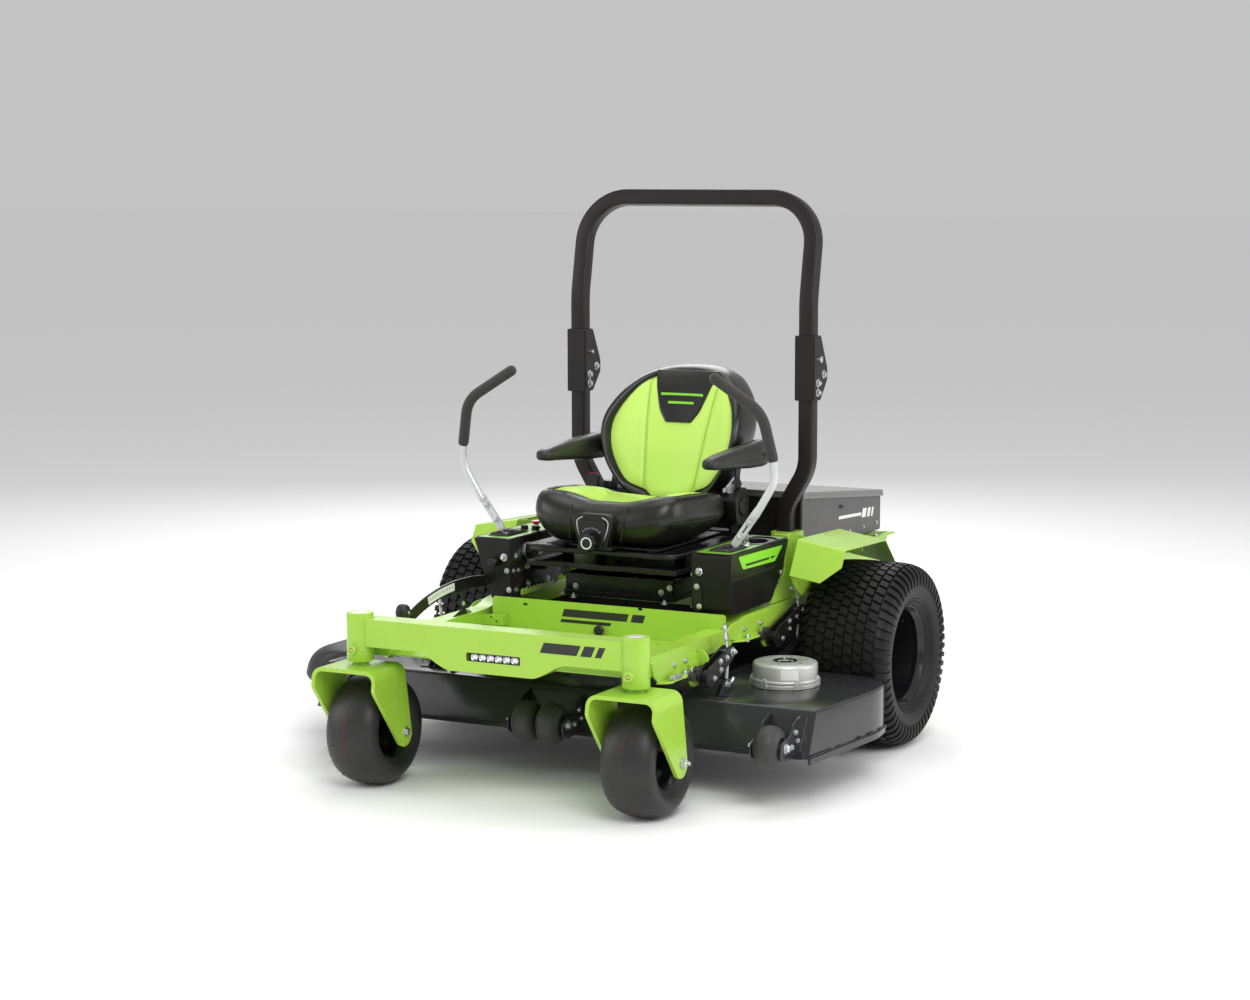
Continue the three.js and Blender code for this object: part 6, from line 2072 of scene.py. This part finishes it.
def hoop_tube(path, section):
    """The square tube of the hoop, its section held square to the plane the hoop bends in."""
    rings = []
    n = len(path)
    for i, p in enumerate(path):
        before, after = path[max(i - 1, 0)], path[min(i + 1, n - 1)]
        along = (Vector(after) - Vector(before)).normalized()
        if i == 0 or i == n - 1:
            along = Vector((0, 0, 1 if i == 0 else -1))
        lean = Vector((0, 1, 0))
        if p[2] > 1405:
            lean = Vector((0, math.cos(HOOP_LEAN), -math.sin(HOOP_LEAN)))
        v = (lean - along * along.dot(lean)).normalized()
        u = along.cross(v)
        rings.append([Vector(p) + u * a + v * b for a, b in section])
    return Shape().loft(rings)


# Battery box ---------------------------------------------------------------------------------


def battery():
    half, front, back, floor = 380, 85, 768, 573
    shell = Shape()
    profile = [(front, floor), (front, 768), (back, 701), (back, floor)]
    shell.prism("x", profile, -half, half)
    box = make("battery_skin", shell, "chassis", "box_dark", 4, 28, ["battery_box"], segments=3)
    carve(box, Shape().prism("x", [(front + 5, floor + 5), (front + 5, 790), (back - 5, 790),
                                   (back - 5, floor + 5)], -half + 5, half - 5))
    pack = Shape()
    for i in range(4):
        for k in range(3):
            x0, y0 = -352 + i * 177, 114 + k * 208
            pack.box(x0, x0 + 170, y0, y0 + 200, 580.5, 676)
            pack.box(x0 + 12, x0 + 60, y0 + 12, y0 + 30, 676, 679.5)
            pack.box(x0 + 110, x0 + 158, y0 + 12, y0 + 30, 676, 679.5)
    make("battery_cells", pack, "chassis", "case", 3, 35, ["battery_pack"])
    lid = Shape()
    slope = (711 - 778) / (back - front)

    def z_at(y, drop=0):
        return 778 + slope * (y - front) - drop
    x0, y0, y1 = half + 7, front - 7, back + 7
    outline = [(y0, z_at(y0)), (y1, z_at(y1)), (y1, z_at(y1, 9.5)), (y0, z_at(y0, 9.5))]
    lid.prism("x", outline, -x0, x0)
    make("lid_skin", lid, "lid", "lid_dark", 3, 28, ["battery_lid"], segments=3)
    lips = Shape()
    for s in (1, -1):
        line = [(y0, z_at(y0, 9)), (y1, z_at(y1, 9)), (y1, z_at(y1, 22)), (y0, z_at(y0, 22))]
        lips.prism("x", line, s * (x0 - 3.4), s * x0)
    lips.box(-x0 + 3.6, x0 - 3.6, y0, y0 + 3.2, z_at(y0, 22), z_at(y0, 9.4))
    make("lid_lips", lips, "lid", "lid_dark", 1.0, 35)
    screws = Shape()
    for s in (1, -1):
        for y in range(130, 760, 120):
            screws.nut((s * half, y, 600), (s, 0, 0), 9, 3)
    for x in (-300, -100, 100, 300):
        screws.nut((x, back, 600), (0, 1, 0), 9, 3)
    make("battery_screws", screws, "chassis", "zinc", 0.3)
    hinge = Shape()
    for x in (-240, 240):
        hinge.bar((x - 50, 775.5, 696), (x + 50, 775.5, 696), 5)
        hinge.prism("y", round_corners([(x - 46, 650), (x + 46, 650), (x + 46, 690), (x - 46, 690)], 6, 3),
                    768, 771)
    make("lid_hinges", hinge, "chassis", "black_paint", 0.6)
    grille = Shape()
    for i in range(9):
        grille.prism("y", round_corners([(-130, 610 + i * 9), (130, 610 + i * 9), (130, 614 + i * 9),
                                         (-130, 614 + i * 9)], 1.8, 2), 768, 772)
    make("battery_louvres", grille, "chassis", "box_dark", 0.5)
    # A thin black sheet over the box front face: painted shade, darkening the face that the seat shades.
    painted_shade_panel = Shape().prism("y", round_corners([(-374, 580), (374, 580), (374, 762), (-374, 762)], 8, 4),
                                83, 86)
    make("battery_front_painted_shade", painted_shade_panel, "chassis", "black_paint", 0.8)
    locks = Shape()
    marks = Shape()
    for s in (1, -1):
        for y, z in ((402, 694), (418, 692)):
            locks.lathe("x", [(0.01, s * (half + 4)), (5, s * (half + 4)), (6, s * (half + 3)),
                              (6, s * (half - 1)), (0.01, s * (half - 1))], (0, y, z), 20)
        for line in ([(392, 662), (590, 652), (590, 642), (392, 651)], [(606, 664), (640, 662), (628, 632),
                                                                        (594, 634)], [(654, 661), (676, 660),
                                                                                      (664, 630), (642, 631)],
                     [(690, 659), (704, 658), (692, 628), (678, 629)]):
            marks.prism("x", line, s * half, s * (half + 0.8))
    make("lid_locks", locks, "chassis", "black_paint")
    make("battery_bars", marks, "chassis", "white", 0, 30)

# Build ---------------------------------------------------------------------------------------

front_beam()
led_bar()
for side, side_name in SIDES:
    caster(side, side_name)
    drive_wheel(side, side_name)
    wheel_motor(side, side_name)
    rail(side, side_name)
    fender(side, side_name)
    pod(side, side_name)
    lever(side, side_name)
    armrest(side, side_name)
floor_panel()
rear_frame()
left_pod_fittings()
right_pod_fittings()
deck_shell()
for spindle in SPINDLES:
    deck_motor(spindle)
    blade(spindle)
for roller_name, roller_x in ROLLERS.items():
    roller(roller_name, roller_x)
roller_brackets()
chute()
linkages()
height_scale()
backrest()
back_shell()
cushion()
seat_frame()
seat_belt()
roll_bar()
battery()

housing = bpy.data.objects["drive_housing"]
housing.data.materials.clear()
housing.data.materials.append(LOOKS["black_paint"][0])

# Stage ---------------------------------------------------------------------------------------


def area_light(name, at, target, size, power):
    light = bpy.data.lights.new(name, "AREA")
    light.shape = "RECTANGLE"
    light.size, light.size_y = size
    light.energy = power
    o = bpy.data.objects.new(name, light)
    o.location = at
    o.rotation_euler = (Vector(target) - Vector(at)).to_track_quat("-Z", "Y").to_euler()
    bpy.context.scene.collection.objects.link(o)
    return o


area_light("key", (3.6, -4.2, 5.0), (0, 0.2, 0.6), (3.2, 3.2), 200)
area_light("fill", (-4.4, -3.4, 2.6), (0, 0.2, 0.6), (3.0, 3.0), 75)
area_light("top", (0.2, 0.6, 5.4), (0, 0.2, 0.6), (4.2, 4.2), 95)
area_light("rear", (-2.6, 4.6, 3.4), (0, 0.2, 0.8), (3.0, 2.4), 90)
area_light("right", (5.0, 1.2, 2.2), (0, 0.2, 0.7), (2.4, 2.4), 70)

world = bpy.data.worlds.new("studio")
bpy.context.scene.world = world
world.use_nodes = True
world.node_tree.nodes["Background"].inputs["Color"].default_value = (1, 1, 1, 1)
world.node_tree.nodes["Background"].inputs["Strength"].default_value = 0.55

ground = bpy.data.meshes.new("floor")
FAR = 80
ground.from_pydata([(-FAR, -FAR, 0), (FAR, -FAR, 0), (FAR, FAR, 0), (-FAR, FAR, 0)], [], [(0, 1, 2, 3)])
floor = bpy.data.objects.new("floor", ground)
bpy.context.scene.collection.objects.link(floor)
paint = bpy.data.materials.new("floor")
paint.use_nodes = True
paint.node_tree.nodes["Principled BSDF"].inputs["Base Color"].default_value = (0.97, 0.97, 0.97, 1)
paint.node_tree.nodes["Principled BSDF"].inputs["Roughness"].default_value = 0.9
ground.materials.append(paint)

# The camera was solved from the photograph, in row metres and degrees.
EYE = (3.7972, -7.3529, 1.8345)
AZIMUTH, PITCH, ROLL = 27.202, 7.340, -0.108
LENS = 75.38
lens = bpy.data.cameras.new("camera")
lens.lens = LENS
lens.sensor_width = 36
camera = bpy.data.objects.new("camera", lens)
camera.location = EYE
turn = Matrix.Rotation(math.radians(AZIMUTH), 4, "Z") @ Matrix.Rotation(math.radians(90 - PITCH), 4, "X")
camera.rotation_euler = (turn @ Matrix.Rotation(math.radians(ROLL), 4, "Z")).to_euler()
bpy.context.scene.collection.objects.link(camera)
bpy.context.scene.camera = camera
bpy.context.scene.view_settings.view_transform = "Standard"
